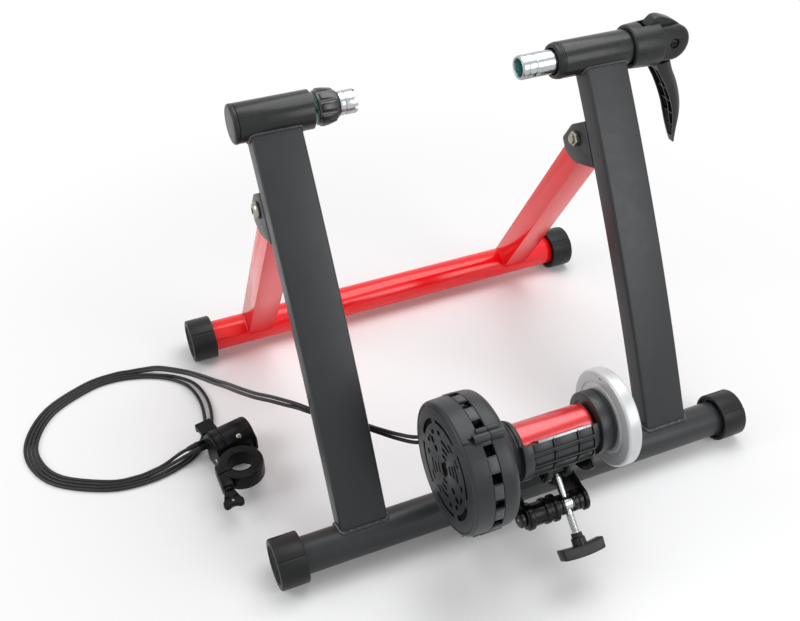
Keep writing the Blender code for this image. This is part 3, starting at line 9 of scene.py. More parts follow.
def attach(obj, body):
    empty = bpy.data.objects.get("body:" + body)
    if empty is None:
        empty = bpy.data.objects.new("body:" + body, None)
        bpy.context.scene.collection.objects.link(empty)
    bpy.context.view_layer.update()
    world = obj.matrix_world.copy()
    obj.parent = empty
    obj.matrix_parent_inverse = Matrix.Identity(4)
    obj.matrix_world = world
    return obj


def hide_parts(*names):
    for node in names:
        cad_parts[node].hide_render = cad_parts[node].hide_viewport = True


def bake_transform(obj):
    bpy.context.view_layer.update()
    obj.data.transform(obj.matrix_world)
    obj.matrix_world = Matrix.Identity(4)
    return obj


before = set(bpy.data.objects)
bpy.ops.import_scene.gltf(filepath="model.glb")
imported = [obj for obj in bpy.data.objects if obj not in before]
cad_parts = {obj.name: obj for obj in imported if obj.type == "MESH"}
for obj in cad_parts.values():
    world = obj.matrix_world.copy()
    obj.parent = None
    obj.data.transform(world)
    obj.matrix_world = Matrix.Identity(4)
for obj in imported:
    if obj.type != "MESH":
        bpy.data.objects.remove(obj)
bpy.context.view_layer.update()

scene = bpy.context.scene
scene.view_settings.view_transform = "Standard"


# The camera stands in front of the trainer, to its left and over it, and looks down at the roller unit.
# It has a full frame sensor and a lens of about 46 mm.
lens = bpy.data.cameras.new("camera")
lens.lens = 46.0919
lens.sensor_width = 36.0
camera = bpy.data.objects.new("camera", lens)
camera.location = (-0.406185, -0.756207, 0.842168)
camera.rotation_euler = [math.radians(a) for a in (51.54254, 0.09482, -23.24388)]
scene.collection.objects.link(camera)
scene.camera = camera


# Two pull cables set the magnets from the handlebar: steel wire in a stiff black plastic housing, 4 mm
# thick. They leave the drum's gland side by side, arch behind the left upright, and most of their
# length lies on the floor in a coil whose end goes into the remote's two ports.

def add(tree, kind, inputs=None, **settings):
    """A node with its settings, and its inputs set to values or joined to sockets."""
    made = tree.nodes.new(kind)
    for key, value in settings.items():
        setattr(made, key, value)
    for key, value in (inputs or {}).items():
        if isinstance(value, bpy.types.NodeSocket):
            tree.links.new(value, made.inputs[key])
        else:
            made.inputs[key].default_value = value
    return made


def new_group(name, kind, inputs, outputs):
    """A node group; inputs are (name, socket type, value) and outputs are (name, socket type)."""
    tree = bpy.data.node_groups.new(name, kind)
    for label, sort, value in inputs:
        socket = tree.interface.new_socket(label, in_out="INPUT", socket_type=sort)
        if value is not None:
            socket.default_value = value
    for label, sort in outputs:
        tree.interface.new_socket(label, in_out="OUTPUT", socket_type=sort)
    return tree, tree.nodes.new("NodeGroupInput").outputs, tree.nodes.new("NodeGroupOutput").inputs


def part_of(tree, top, under):
    """A value divided by another, inside a node tree."""
    return add(tree, "ShaderNodeMath", {0: top, 1: under}, operation="DIVIDE").outputs[0]


# fine grain of a coat or a mould's skin, and slow drift of tone over the surface
skin_group, given, gives = new_group(
    "skin", "ShaderNodeTree",
    [("Grain", "NodeSocketFloat", 0.001), ("Patch", "NodeSocketFloat", 0.05)],
    [("Height", "NodeSocketFloat"), ("Tone", "NodeSocketFloat"), ("Haze", "NodeSocketFloat")])
spot = add(skin_group, "ShaderNodeTexCoord").outputs["Object"]
grain = add(skin_group, "ShaderNodeTexNoise",
            {"Vector": spot, "Scale": part_of(skin_group, 1.0, given["Grain"]), "Detail": 2.0})
patch = add(skin_group, "ShaderNodeTexNoise",
            {"Vector": spot, "Scale": part_of(skin_group, 1.0, given["Patch"]), "Detail": 3.0})
haze = add(skin_group, "ShaderNodeTexNoise",
           {"Vector": spot, "Scale": part_of(skin_group, 4.0, given["Patch"]), "Detail": 5.0,
            "Distortion": 0.6})
skin_group.links.new(grain.outputs[0], gives["Height"])
skin_group.links.new(patch.outputs[0], gives["Tone"])
skin_group.links.new(haze.outputs[0], gives["Haze"])


def spread(tree, value, low=0.0, high=1.0):
    """Spreads the middle of a noise over a range of values, inside a node tree."""
    return add(tree, "ShaderNodeMapRange", {0: value, 1: 0.3, 2: 0.7, 3: low, 4: high}).outputs[0]


def finish(name, light, dark, rough, swing, grain_size, depth, patch_size=0.05, metallic=0.0,
           coat=0.0, shine=0.5):
    """A surface finish: two near tones, roughness that wanders by swing, and a bump of the given depth."""
    made = bpy.data.materials.new(name)
    made.use_nodes = True
    tree = made.node_tree
    shader = tree.nodes["Principled BSDF"]
    skin = add(tree, "ShaderNodeGroup", node_tree=skin_group)
    skin.inputs["Grain"].default_value = grain_size
    skin.inputs["Patch"].default_value = patch_size
    colour = add(tree, "ShaderNodeMix", {0: spread(tree, skin.outputs["Tone"]), 6: (*light, 1.0),
                                         7: (*dark, 1.0)}, data_type="RGBA")
    level = spread(tree, skin.outputs["Haze"], rough - swing, rough + swing)
    normal = add(tree, "ShaderNodeBump", {"Strength": 1.0, "Distance": depth,
                                          "Height": skin.outputs["Height"]}).outputs[0]
    tree.links.new(colour.outputs[2], shader.inputs["Base Color"])
    tree.links.new(level, shader.inputs["Roughness"])
    tree.links.new(normal, shader.inputs["Normal"])
    shader.inputs["Metallic"].default_value = metallic
    shader.inputs["Coat Weight"].default_value = coat
    shader.inputs["Specular IOR Level"].default_value = shine
    shader.inputs["Coat Roughness"].default_value = 0.12
    made.diffuse_color = (*light, 1.0)
    return made


def to_mesh(work, normals=True):
    """A plain mesh from a bmesh, with its faces turned outwards."""
    if normals:
        bmesh.ops.recalc_face_normals(work, faces=work.faces)
    made = bpy.data.meshes.new("shape")
    work.to_mesh(made)
    work.free()
    return made


def show(name, mesh, look, body, nodes=(), angle=32.0):
    """Puts a finished piece in the scene on its body, in place of the CAD nodes that it stands for."""
    mesh.name = name
    mesh.materials.clear()
    mesh.materials.append(look)
    for face in mesh.polygons:
        face.material_index = 0
    mesh.shade_smooth()
    mesh.set_sharp_from_angle(angle=math.radians(angle))
    made = bpy.data.objects.new(name, mesh)
    scene.collection.objects.link(made)
    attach(made, body)
    if nodes:
        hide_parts(*nodes)
    return made


def between(a, b, c, d, t):
    """A point at share t of the way from b to c on a smooth line through a, b, c and d."""
    return 0.5 * (2 * b + (c - a) * t + (2 * a - 5 * b + 4 * c - d) * t * t
                  + (3 * b - a - 3 * c + d) * t ** 3)


def smooth(points, per_span):
    """A smooth line through chosen points."""
    nodes = [Vector(p) for p in points]
    out = []
    for i, (b, c) in enumerate(zip(nodes, nodes[1:])):
        a = nodes[i - 1] if i else b * 2 - c
        d = nodes[i + 2] if i + 2 < len(nodes) else c * 2 - b
        out += [between(a, b, c, d, k / per_span) for k in range(per_span)]
    return out + [nodes[-1]]


def tube(path, radius, sides=12):
    """A round solid along a path; radius is a number or a function of the share of its length."""
    work = bmesh.new()
    up = Vector((0.0, 0.0, 1.0))
    rows = []
    for i, here in enumerate(path):
        way = (path[min(i + 1, len(path) - 1)] - path[max(i - 1, 0)]).normalized()
        up = (up - way * up.dot(way)).normalized()
        side = way.cross(up)
        size = radius(i / (len(path) - 1)) if callable(radius) else radius
        rows.append([work.verts.new(here + (up * math.cos(t) + side * math.sin(t)) * size)
                     for t in (2 * math.pi * k / sides for k in range(sides))])
    for a, b in zip(rows, rows[1:]):
        for k in range(sides):
            work.faces.new((a[k], a[(k + 1) % sides], b[(k + 1) % sides], b[k]))
    work.faces.new(rows[0][::-1])
    work.faces.new(rows[-1])
    return to_mesh(work)


CABLE_WIDE = 0.0040
# the cables leave the moving drum unit here, where the arch begins to stand still
ARCH_TOP = (-0.1780, -0.0515, 0.1200)
# shared run of the pair: place, tilt in degrees (0 is side by side), half their spacing
RUN = [((-0.0984, -0.1060, 0.1100), 90, 0.0040), ((-0.1110, -0.1038, 0.1098), 85, 0.0034),
       ((-0.1262, -0.0880, 0.1070), 80, 0.0026), ((-0.1430, -0.0690, 0.1062), 85, 0.0022),
       ((-0.1600, -0.0575, 0.1120), 90, 0.0022), (ARCH_TOP, 90, 0.0022),
       ((-0.1950, -0.0438, 0.1268), 90, 0.0022), ((-0.2075, -0.0300, 0.1275), 80, 0.0022),
       ((-0.2157, -0.0137, 0.1210), 60, 0.0022), ((-0.2252, 0.0083, 0.1110), 50, 0.0022),
       ((-0.2353, 0.0320, 0.0990), 45, 0.0022), ((-0.2446, 0.0604, 0.0850), 40, 0.0022),
       ((-0.2533, 0.0964, 0.0660), 30, 0.0022), ((-0.2596, 0.1239, 0.0500), 20, 0.0022),
       ((-0.2660, 0.1530, 0.0340), 10, 0.0022), ((-0.2735, 0.1785, 0.0210), 0, 0.0022),
       ((-0.2840, 0.1990, 0.0126), 0, 0.0022)]
# middle line of the coil on the floor
COIL = [(-0.2744, 0.1340), (-0.2744, 0.1590), (-0.2795, 0.1840), (-0.2925, 0.2045), (-0.3105, 0.2185),
        (-0.3330, 0.2280), (-0.3620, 0.2335), (-0.3950, 0.2290), (-0.4420, 0.2040), (-0.4680, 0.1640),
        (-0.4700, 0.1260), (-0.4500, 0.0890), (-0.4010, 0.0600), (-0.3580, 0.0550), (-0.3190, 0.0650),
        (-0.2975, 0.0810), (-0.2810, 0.1070)]
FLOOR_LIE = 0.0022
CLEAR = 0.0001
# each cable's way round the coil: stations (coil point, offset outwards, height), then its last points
OUTER_TURNS = ([(4.0, 0.0055, 0.0084), (4.8, 0.0063, 0.0046), (5.4, 0.0063, 0.0026)]
               + [(t, 0.0063, FLOOR_LIE) for t in range(6, 19)]
               + [(19, 0.0045, FLOOR_LIE), (20, 0.0005, FLOOR_LIE)]
               + [(t, -0.0021, FLOOR_LIE) for t in range(21, 30)]
               + [(29.7, -0.0021, 0.0026), (30.15, -0.0018, 0.0044), (30.5, 0.0005, 0.0070)])
INNER_TURNS = ([(4.0, 0.0012, 0.0084), (4.8, 0.0020, 0.0046), (5.4, 0.0021, 0.0026)]
               + [(t, 0.0021, FLOOR_LIE) for t in range(6, 15)]
               + [(15, 0.0015, FLOOR_LIE), (16, -0.0012, FLOOR_LIE), (17, -0.0023, FLOOR_LIE),
                  (18, -0.0023, FLOOR_LIE), (19, -0.0036, FLOOR_LIE), (20, -0.0055, FLOOR_LIE)]
               + [(t, -0.0063, FLOOR_LIE) for t in range(21, 30)]
               + [(29.7, -0.0063, 0.0024), (30.15, -0.0062, 0.0036), (30.5, -0.0046, 0.0062)])
OUTER_END = [(-0.3191, 0.0588, 0.0126), (-0.3073, 0.0607, 0.0146), (-0.2974, 0.0624, 0.0150)]
INNER_END = [(-0.3203, 0.0662, 0.0126), (-0.3085, 0.0682, 0.0146), (-0.2986, 0.0698, 0.0150)]


def coil_point(station, offset, height):
    """A place beside the coil's middle line."""
    count = len(COIL)
    i, t = int(station) % count, station % 1
    a, b, c, d = (Vector(COIL[(i + k) % count]) for k in (-1, 0, 1, 2))
    way = (0.5 * ((c - a) + 2 * (2 * a - 5 * b + 4 * c - d) * t
                  + 3 * (3 * b - a - 3 * c + d) * t * t)).normalized()
    here = between(a, b, c, d, t) + Vector((way.y, -way.x)) * offset
    return Vector((here.x, here.y, height))


def cable_path(sign, turns, last):
    """One cable from the gland to its port; sign is 1 for the upper one and -1 for the lower one."""
    places = [Vector(p) for p, tilt, half in RUN]
    out = []
    for i, (here, (spot, tilt, half)) in enumerate(zip(places, RUN)):
        way = Vector((-1.0, 0.0, 0.0))
        if i:
            way = (places[min(i + 1, len(places) - 1)] - places[i - 1]).normalized()
        level = way.cross(Vector((0.0, 0.0, 1.0))).normalized()
        up = level.cross(way).normalized()
        turn = math.radians(tilt)
        out.append(here + (level * math.cos(turn) + up * math.sin(turn)) * (half * sign))
    out += [coil_point(*station) for station in turns] + [Vector(p) for p in last]
    path = smooth(out, 5)
    for point in path:
        point.z = max(point.z, CABLE_WIDE / 2 + CLEAR)
    return path


cable_skin = finish("cable_skin", (0.014, 0.014, 0.015), (0.020, 0.020, 0.022), 0.34, 0.06, 0.0012,
                    0.00002, shine=0.3)
port_rubber = finish("port_rubber", (0.012, 0.012, 0.013), (0.018, 0.018, 0.019), 0.50, 0.05, 0.0006,
                     0.00003, shine=0.3)


def port_boot(share):
    """The radius of the tapered rubber boot where a cable goes into the remote, with its rings."""
    return 0.0036 - 0.0012 * share + 0.0003 * (math.sin(share * 30) > 0)


for name, sign, turns, last in (("upper_pull_cable", 1, OUTER_TURNS, OUTER_END),
                                ("lower_pull_cable", -1, INNER_TURNS, INNER_END)):
    path = cable_path(sign, turns, last)
    node = name.replace("_pull", "")
    made = bpy.data.objects.new(name, tube(path, CABLE_WIDE / 2))
    made.data.materials.append(cable_skin)
    made.data.shade_smooth()
    made.data.set_sharp_from_angle(angle=math.radians(40.0))
    scene.collection.objects.link(made)
    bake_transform(made)
    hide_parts(node, "cable_coil")
    boot = smooth([path[-1 - k] for k in (0, 2, 4, 6)], 4)
    show(name.replace("_pull_cable", "_port_boot"), tube(boot, port_boot, 20), port_rubber, "frame")


# The base tube is a 38 mm round steel tube, powder coated satin black. Soft rubber caps are pushed on its
# ends; each has a flat to stand on, a ribbed hollow in its end face and a step along its side.

def rounded(outline, radius, closed=True, steps=3):
    """An outline with rounded corners; a point may carry its own radius as a third value."""
    out = []
    for i, spot in enumerate(outline):
        here = Vector(spot[:2])
        size = spot[2] if len(spot) > 2 else radius
        if size <= 0.0 or (not closed and i in (0, len(outline) - 1)):
            out.append(here)
            continue
        before = Vector(outline[i - 1][:2]) - here
        after = Vector(outline[(i + 1) % len(outline)][:2]) - here
        cut = min(size, before.length * 0.45, after.length * 0.45)
        a, b = here + before.normalized() * cut, here + after.normalized() * cut
        out += [a.lerp(here, k / steps).lerp(here.lerp(b, k / steps), k / steps) for k in range(steps + 1)]
    return out


def lathe(profile, centre=(0.0, 0.0), steps=72, shape=None):
    """A turned solid about a line along X at centre (y, z), from a closed profile of (x, radius) pairs."""
    work = bmesh.new()
    rows = []
    y, z = centre
    for x, radius in profile:
        ring = []
        for k in range(steps if radius > 1e-6 else 1):
            turn = 2 * math.pi * k / steps
            size = radius * shape(turn, x) if shape else radius
            ring.append(work.verts.new((x, y + size * math.cos(turn), z + size * math.sin(turn))))
        rows.append(ring)
    for a, b in zip(rows, rows[1:] + rows[:1]):
        for k in range(steps):
            j = (k + 1) % steps
            corners = list(dict.fromkeys((a[k % len(a)], a[j % len(a)], b[j % len(b)], b[k % len(b)])))
            if len(corners) > 2:
                work.faces.new(corners)
    return to_mesh(work)


def spun(profile, radius, centre=(0.0, 0.0), steps=72):
    """A turned piece from its whole closed profile, with rounded corners."""
    return lathe(rounded(profile, radius), centre, steps)


def turned(profile, radius, centre=(0.0, 0.0), steps=72):
    """A turned piece without a bore: its profile is closed on the axis at both ends."""
    return spun([(profile[0][0], 0.0, 0.0), *profile, (profile[-1][0], 0.0, 0.0)], radius, centre, steps)


def cylinder(low, high, radius, centre=(0.0, 0.0), steps=72):
    """A plain cylinder along X, for a hole or a room."""
    return lathe([(low, 0.0), (low, radius), (high, radius), (high, 0.0)], centre, steps)


def placed(shape, at=(0.0, 0.0, 0.0), turn=0.0, axis="X"):
    """Turns a shape by degrees about an axis through the origin, then moves it to its place."""
    shape.transform(Matrix.Translation(at) @ Matrix.Rotation(math.radians(turn), 4, axis))
    return shape


def to_left(shape):
    """The same shape on the other side of the trainer's middle."""
    shape.transform(Matrix.Scale(-1.0, 4, (1.0, 0.0, 0.0)))
    shape.flip_normals()
    return shape


def loose(shape):
    """A mesh or curve as an object of its own, to be worked on."""
    made = bpy.data.objects.new("work", shape)
    scene.collection.objects.link(made)
    return made


def baked(made):
    """The evaluated shape of an object as a plain mesh; the object itself goes."""
    shape = bpy.data.meshes.new_from_object(made.evaluated_get(bpy.context.evaluated_depsgraph_get()))
    bpy.data.objects.remove(made)
    return shape


def softened(shape, width, segments=2, angle=40.0):
    """Rounds the sharp edges of a mesh."""
    made = loose(shape)
    step = made.modifiers.new("round", "BEVEL")
    step.width = width
    step.segments = segments
    step.limit_method = "ANGLE"
    step.angle_limit = math.radians(angle)
    return baked(made)


def combined(shape, tools, operation="DIFFERENCE"):
    """Cuts a mesh by others, or joins them to it."""
    made = loose(shape)
    others = [loose(tool) for tool in tools]
    for other in others:
        step = made.modifiers.new("step", "BOOLEAN")
        step.operation = operation
        step.solver = "EXACT"
        step.object = other
    result = baked(made)
    for other in others:
        bpy.data.objects.remove(other)
    return result


def gathered(shapes):
    """Several meshes as one."""
    work = bmesh.new()
    for shape in shapes:
        work.from_mesh(shape)
    return to_mesh(work, False)


VIEWS = {"side": Matrix(((0, 0, 1, 0), (1, 0, 0, 0), (0, 1, 0, 0), (0, 0, 0, 1))),
         "front": Matrix(((1, 0, 0, 0), (0, 0, -1, 0), (0, 1, 0, 0), (0, 0, 0, 1))),
         "top": Matrix.Identity(4)}


def plate(outlines, low, high, edge=0.0, view="side", segments=2):
    """A flat piece from closed outlines, the first outside and the rest holes, between two depths."""
    line = bpy.data.curves.new("outline", "CURVE")
    line.dimensions = "2D"
    line.fill_mode = "BOTH"
    line.extrude = (high - low) / 2
    for outline in outlines:
        spline = line.splines.new("POLY")
        spline.points.add(len(outline) - 1)
        for point, (u, v) in zip(spline.points, outline):
            point.co = (u, v, 0.0, 1.0)
        spline.use_cyclic_u = True
    shape = baked(loose(line))
    work = bmesh.new()
    work.from_mesh(shape)
    bmesh.ops.remove_doubles(work, verts=work.verts, dist=0.000001)
    bmesh.ops.dissolve_limit(work, angle_limit=0.001, verts=work.verts, edges=work.edges)
    shape = to_mesh(work)
    placed(shape, (0.0, 0.0, (low + high) / 2))
    if edge:
        shape = softened(shape, edge, segments)
    depth = Matrix.Scale(-1.0, 4, (0.0, 0.0, 1.0)) if view == "front" else Matrix.Identity(4)
    shape.transform(VIEWS[view] @ depth)
    if view == "front":
        shape.flip_normals()
    return shape


def arc(centre, radius, start, stop, count):
    """Points along an arc, angles in degrees."""
    turn = [math.radians(start + (stop - start) * i / count) for i in range(count + 1)]
    return [(centre[0] + radius * math.cos(t), centre[1] + radius * math.sin(t)) for t in turn]


def circle(centre, radius, count=32):
    """Points round a circle."""
    return arc(centre, radius, 0.0, 360.0 - 360.0 / count, count - 1)


def block(size, at, edge=0.0, turn=0.0):
    """A rectangular block with rounded edges, turned by degrees about a line along X."""
    work = bmesh.new()
    bmesh.ops.create_cube(work, size=1.0)
    bmesh.ops.scale(work, vec=size, verts=work.verts)
    shape = to_mesh(work)
    if edge:
        shape = softened(shape, edge)
    return placed(shape, at, turn)


def new_maker(name, *inputs):
    """A geometry tree with a shape or line, a look and other named inputs, which puts out a shape."""
    tree, given, gives = new_group(
        name, "GeometryNodeTree",
        [("Shape", "NodeSocketGeometry", None), *inputs, ("Look", "NodeSocketMaterial", None)],
        [("Shape", "NodeSocketGeometry")])
    tree.is_modifier = True
    return tree, given, gives


def close_maker(tree, made, given, gives):
    """Ends a geometry tree: its result as plain geometry, in its look."""
    plain = add(tree, "GeometryNodeRealizeInstances", {0: made.outputs[0]})
    looked = add(tree, "GeometryNodeSetMaterial", {"Geometry": plain.outputs[0], "Material": given["Look"]})
    tree.links.new(looked.outputs[0], gives["Shape"])


# copies of a shape in a ring about a line along X
ring_copies, given, gives = new_maker(
    "ring_copies", ("Count", "NodeSocketInt", 4), ("Start", "NodeSocketFloat", 0.0),
    ("Centre", "NodeSocketVector", (0.0, 0.0, 0.0)))
spots = add(ring_copies, "GeometryNodeMeshLine",
            {"Count": given["Count"], "Start Location": given["Centre"], "Offset": (0.0, 0.0, 0.0)})
place = add(ring_copies, "GeometryNodeInputIndex").outputs[0]
turn = add(ring_copies, "ShaderNodeMath", {0: place, 1: part_of(ring_copies, 2 * math.pi, given["Count"]),
                                           2: given["Start"]}, operation="MULTIPLY_ADD")
euler = add(ring_copies, "ShaderNodeCombineXYZ", {0: turn.outputs[0]})
facing = add(ring_copies, "FunctionNodeEulerToRotation", {0: euler.outputs[0]})
copies = add(ring_copies, "GeometryNodeInstanceOnPoints",
             {"Points": spots.outputs[0], "Instance": given["Shape"], "Rotation": facing.outputs[0]})
close_maker(ring_copies, copies, given, gives)

# copies of a shape in a straight row
row_copies, given, gives = new_maker("row_copies", ("Count", "NodeSocketInt", 4),
                                     ("Step", "NodeSocketVector", (0.0, 0.0, 0.01)))
spots = add(row_copies, "GeometryNodeMeshLine", {"Count": given["Count"], "Start Location": (0.0, 0.0, 0.0),
                                                 "Offset": given["Step"]})
copies = add(row_copies, "GeometryNodeInstanceOnPoints",
             {"Points": spots.outputs[0], "Instance": given["Shape"]})
close_maker(row_copies, copies, given, gives)


def grown(shape, tree, **values):
    """Runs a node tree on a mesh with its named inputs set, and keeps the result as a plain mesh."""
    made = loose(shape)
    step = made.modifiers.new("grow", "NODES")
    step.node_group = tree
    for item in tree.interface.items_tree:
        if item.in_out == "INPUT" and item.name in values:
            step[item.identifier] = values[item.name]
    return baked(made)


black_coat = finish("black_powder_coat", (0.026, 0.028, 0.030), (0.033, 0.035, 0.037), 0.36, 0.05, 0.0009,
                    0.00005, patch_size=0.08, shine=0.32)
cap_rubber = finish("cap_rubber", (0.008, 0.0085, 0.009), (0.014, 0.0145, 0.015), 0.40, 0.06, 0.0011,
                    0.00005, shine=0.24)
TUBE_R = 0.0190
# the tubes' and caps' centre line above the floor
REST = 0.0256
BASE_Y = -0.1300
BASE_HALF = 0.2682
BASE_CAP_END = 0.2725


def cross_tube(half, inside, outside, y):
    """A base tube across the trainer with its edges broken."""
    return spun([(-half, inside), (-half, outside), (half, outside), (half, inside)], 0.0006, (y, REST),
                96)


show("front_tube", cross_tube(BASE_HALF, 0.0175, TUBE_R, BASE_Y), black_coat, "frame", ["base_tube"])

CAP_R = 0.0262
CAP_LONG = 0.0290
CAP_GAP = 0.0003
# the end face's hollow, and the upper part between the two steps along the side, in degrees
HOLLOW_R = 0.0193
STEPS = (52.0, 128.0)


def cap_step(turn, x):
    """A cap's lower part stands a little proud of the upper one, with a groove where they meet."""
    bend = math.degrees(turn)
    proud = 0.982 if STEPS[0] < bend < STEPS[1] else 1.0
    return proud - 0.030 * max(0.0, 1.0 - min(abs(bend - edge) for edge in STEPS) / 2.2)


def cap(name, node, end, tube_r, y, body):
    """One rubber cap whose outer face is at x = end or, at the left, at -end."""
    inner = end - CAP_LONG
    bore = tube_r + CAP_GAP
    profile = rounded([(end - 0.0030, 0.0, 0.0), (end - 0.0030, 0.0195, 0.0006), (end, 0.0205, 0.0008),
                       (end, CAP_R, 0.0022), (inner, CAP_R, 0.0012), (inner, CAP_R - 0.0032, 0.0006),
                       (inner + 0.0030, CAP_R - 0.0036, 0.0006), (inner + 0.0030, tube_r + 0.0012, 0.0004),
                       (inner + 0.0005, tube_r + 0.0011, 0.0003), (inner + 0.0005, bore, 0.0),
                       (end - 0.0040, bore, 0.0), (end - 0.0040, 0.0, 0.0)], 0.0005)
    work = bmesh.new()
    work.from_mesh(lathe(profile, (y, REST), 192, cap_step))
    for vert in work.verts:
        gone = math.hypot(vert.co.y - y, vert.co.z - REST)
        if 0.001 < gone < tube_r + 0.0008 and vert.co.x < end - 0.0035:
            # the bore round the tube has no step
            vert.co.y = y + (vert.co.y - y) * bore / gone
            vert.co.z = REST + (vert.co.z - REST) * bore / gone
        # the flat to stand on
        vert.co.z = max(vert.co.z, 0.0)
    outside = to_mesh(work)
    rib = block((0.0022, 0.0012, 0.0400), (end - 0.0019, y - 0.0150, REST), 0.0003)
    ribs = grown(rib, row_copies, Count=7, Step=(0.0, 0.0050, 0.0), Look=cap_rubber)
    for vert in ribs.vertices:
        reach = math.sqrt(max(HOLLOW_R ** 2 - (vert.co.y - y) ** 2, 0.0))
        vert.co.z = REST + max(-reach, min(reach, vert.co.z - REST))
    whole = gathered([outside, ribs])
    show(name, to_left(whole) if "left" in name else whole, cap_rubber, body, [node], angle=38.0)


SIDES = ((-1, "left"), (1, "right"))
for side, word in SIDES:
    cap("front_cap_" + word, "front_%s_foot" % word, BASE_CAP_END, TUBE_R, BASE_Y, "frame")


# The uprights are 50 x 25 mm rectangular steel tubes, slightly bowed to the front and coated like the
# base tube. Their ends are saddled to the round tubes and welded all round.

AXLE = (0.0841, 0.3888)
UPRIGHT_X = 0.1780
UPRIGHT_WIDE = 0.0500
UPRIGHT_DEEP = 0.0245
BOW = 0.0079
low_end = Vector((BASE_Y, REST))
rise = Vector(AXLE) - low_end
rise_way = rise.normalized()
front_way = Vector((-rise_way.y, rise_way.x))


def on_upright(share, offset):
    """A (y, z) point beside the upright's bowed centre line; offset is positive toward the front."""
    lean = BOW * 4 * (1 - 2 * share) / rise.length
    normal = (front_way - rise_way * lean).normalized()
    return low_end + rise * share + front_way * (BOW * 4 * share * (1 - share)) + normal * offset


# a rectangular section with round corners, swept along a line
section_sweep, given, gives = new_maker(
    "section_sweep", ("Width", "NodeSocketFloat", 0.05), ("Depth", "NodeSocketFloat", 0.025),
    ("Corner", "NodeSocketFloat", 0.003))
line = add(section_sweep, "GeometryNodeMeshToCurve", {"Mesh": given["Shape"]})
line = add(section_sweep, "GeometryNodeSetCurveNormal", {"Curve": line.outputs[0]}, mode="MINIMUM_TWIST")
oblong = add(section_sweep, "GeometryNodeCurvePrimitiveQuadrilateral", {"Width": given["Width"],
                                                                       "Height": given["Depth"]})
oblong = add(section_sweep, "GeometryNodeFilletCurve",
             {"Curve": oblong.outputs[0], "Count": 5, "Radius": given["Corner"]}, mode="POLY")
swept = add(section_sweep, "GeometryNodeCurveToMesh",
            {"Curve": line.outputs[0], "Profile Curve": oblong.outputs[0], "Fill Caps": True})
close_maker(section_sweep, swept, given, gives)

# a weld bead laid along a line, with the ripples of its many small pools
POOL = 0.0026
weld_bead, given, gives = new_maker("weld_bead", ("Radius", "NodeSocketFloat", 0.0016),
                                    ("Ripple", "NodeSocketFloat", 0.25))
line = add(weld_bead, "GeometryNodeMeshToCurve", {"Mesh": given["Shape"]})
line = add(weld_bead, "GeometryNodeResampleCurve", {"Curve": line.outputs[0], "Length": 0.0007},
           mode="LENGTH")
place = add(weld_bead, "GeometryNodeSplineParameter")
wave = add(weld_bead, "ShaderNodeMath", {0: place.outputs["Length"], 1: 2 * math.pi / POOL},
           operation="MULTIPLY")
wave = add(weld_bead, "ShaderNodeMath", {0: wave.outputs[0]}, operation="SINE")
spot = add(weld_bead, "GeometryNodeInputPosition").outputs[0]
rough = add(weld_bead, "ShaderNodeTexNoise", {"Vector": spot, "Scale": 260.0})
swell = add(weld_bead, "ShaderNodeMath", {0: wave.outputs[0], 1: 0.35, 2: rough.outputs[0]},
            operation="MULTIPLY_ADD")
size = add(weld_bead, "ShaderNodeMath", {0: swell.outputs[0], 1: given["Ripple"], 2: 0.85},
           operation="MULTIPLY_ADD")
line = add(weld_bead, "GeometryNodeSetCurveRadius", {"Curve": line.outputs[0], "Radius": size.outputs[0]})
ring = add(weld_bead, "GeometryNodeCurvePrimitiveCircle", {"Resolution": 10, "Radius": given["Radius"]})
swept = add(weld_bead, "GeometryNodeCurveToMesh",
            {"Curve": line.outputs[0], "Profile Curve": ring.outputs[0], "Fill Caps": True})
if "Scale" in swept.inputs:
    weld_bead.links.new(size.outputs[0], swept.inputs["Scale"])
close_maker(weld_bead, swept, given, gives)


def line_mesh(points, closed=False):
    """A mesh of edges along points, for a node tree to follow."""
    shape = bpy.data.meshes.new("line")
    edges = [(i, i + 1) for i in range(len(points) - 1)] + ([(len(points) - 1, 0)] if closed else [])
    shape.from_pydata([tuple(p) for p in points], edges, [])
    return shape


def saddle_line(x, wide, deep, centre, away, across, radius):
    """The line where a rectangular tube meets a round one."""
    corners = rounded([(-wide, -deep), (wide, -deep), (wide, deep), (-wide, deep)], 0.0040)
    out = []
    for a, b in zip(corners, corners[1:] + corners[:1]):
        count = max(1, round((b - a).length / 0.0020))
        for k in range(count):
            u, v = a.lerp(b, k / count)
            y, z = centre + away * math.sqrt(radius ** 2 - v ** 2) + across * v
            out.append((x + u, y, z))
    return out


def weld(name, line, radius, ripple, look, body, closed=True):
    """A weld bead along a line, on the body."""
    bead = grown(line_mesh(line, closed), weld_bead, Radius=radius, Ripple=ripple, Look=look)
    show(name, bead, look, body)


weld_coat = finish("weld_coat", (0.030, 0.032, 0.034), (0.060, 0.063, 0.066), 0.22, 0.08, 0.0016, 0.00025,
                   shine=0.6)
# a bead's centre line lies this far outside the tubes
BEAD_OUT = 0.0004
for side, word in SIDES:
    x = side * UPRIGHT_X
    points = [(x, *on_upright(i / 48, 0.0)) for i in range(49)]
    show(word + "_bowed_upright", grown(line_mesh(points), section_sweep, Width=UPRIGHT_WIDE,
                                        Depth=UPRIGHT_DEEP, Corner=0.0032, Look=black_coat),
         black_coat, "frame", [word + "_upright"], angle=30.0)
    for place, near, centre, radius in (("foot", 0.06, low_end, 0.0019),
                                        ("head", 0.94, Vector(AXLE), 0.0014)):
        away = (on_upright(near, 0.0) - centre).normalized()
        bead = saddle_line(x, UPRIGHT_WIDE / 2 + BEAD_OUT, UPRIGHT_DEEP / 2 + BEAD_OUT, centre, away,
                           Vector((-away.y, away.x)), TUBE_R + BEAD_OUT)
        weld("%s_%s_weld" % (word, place), bead, radius, 0.45, weld_coat, "frame")


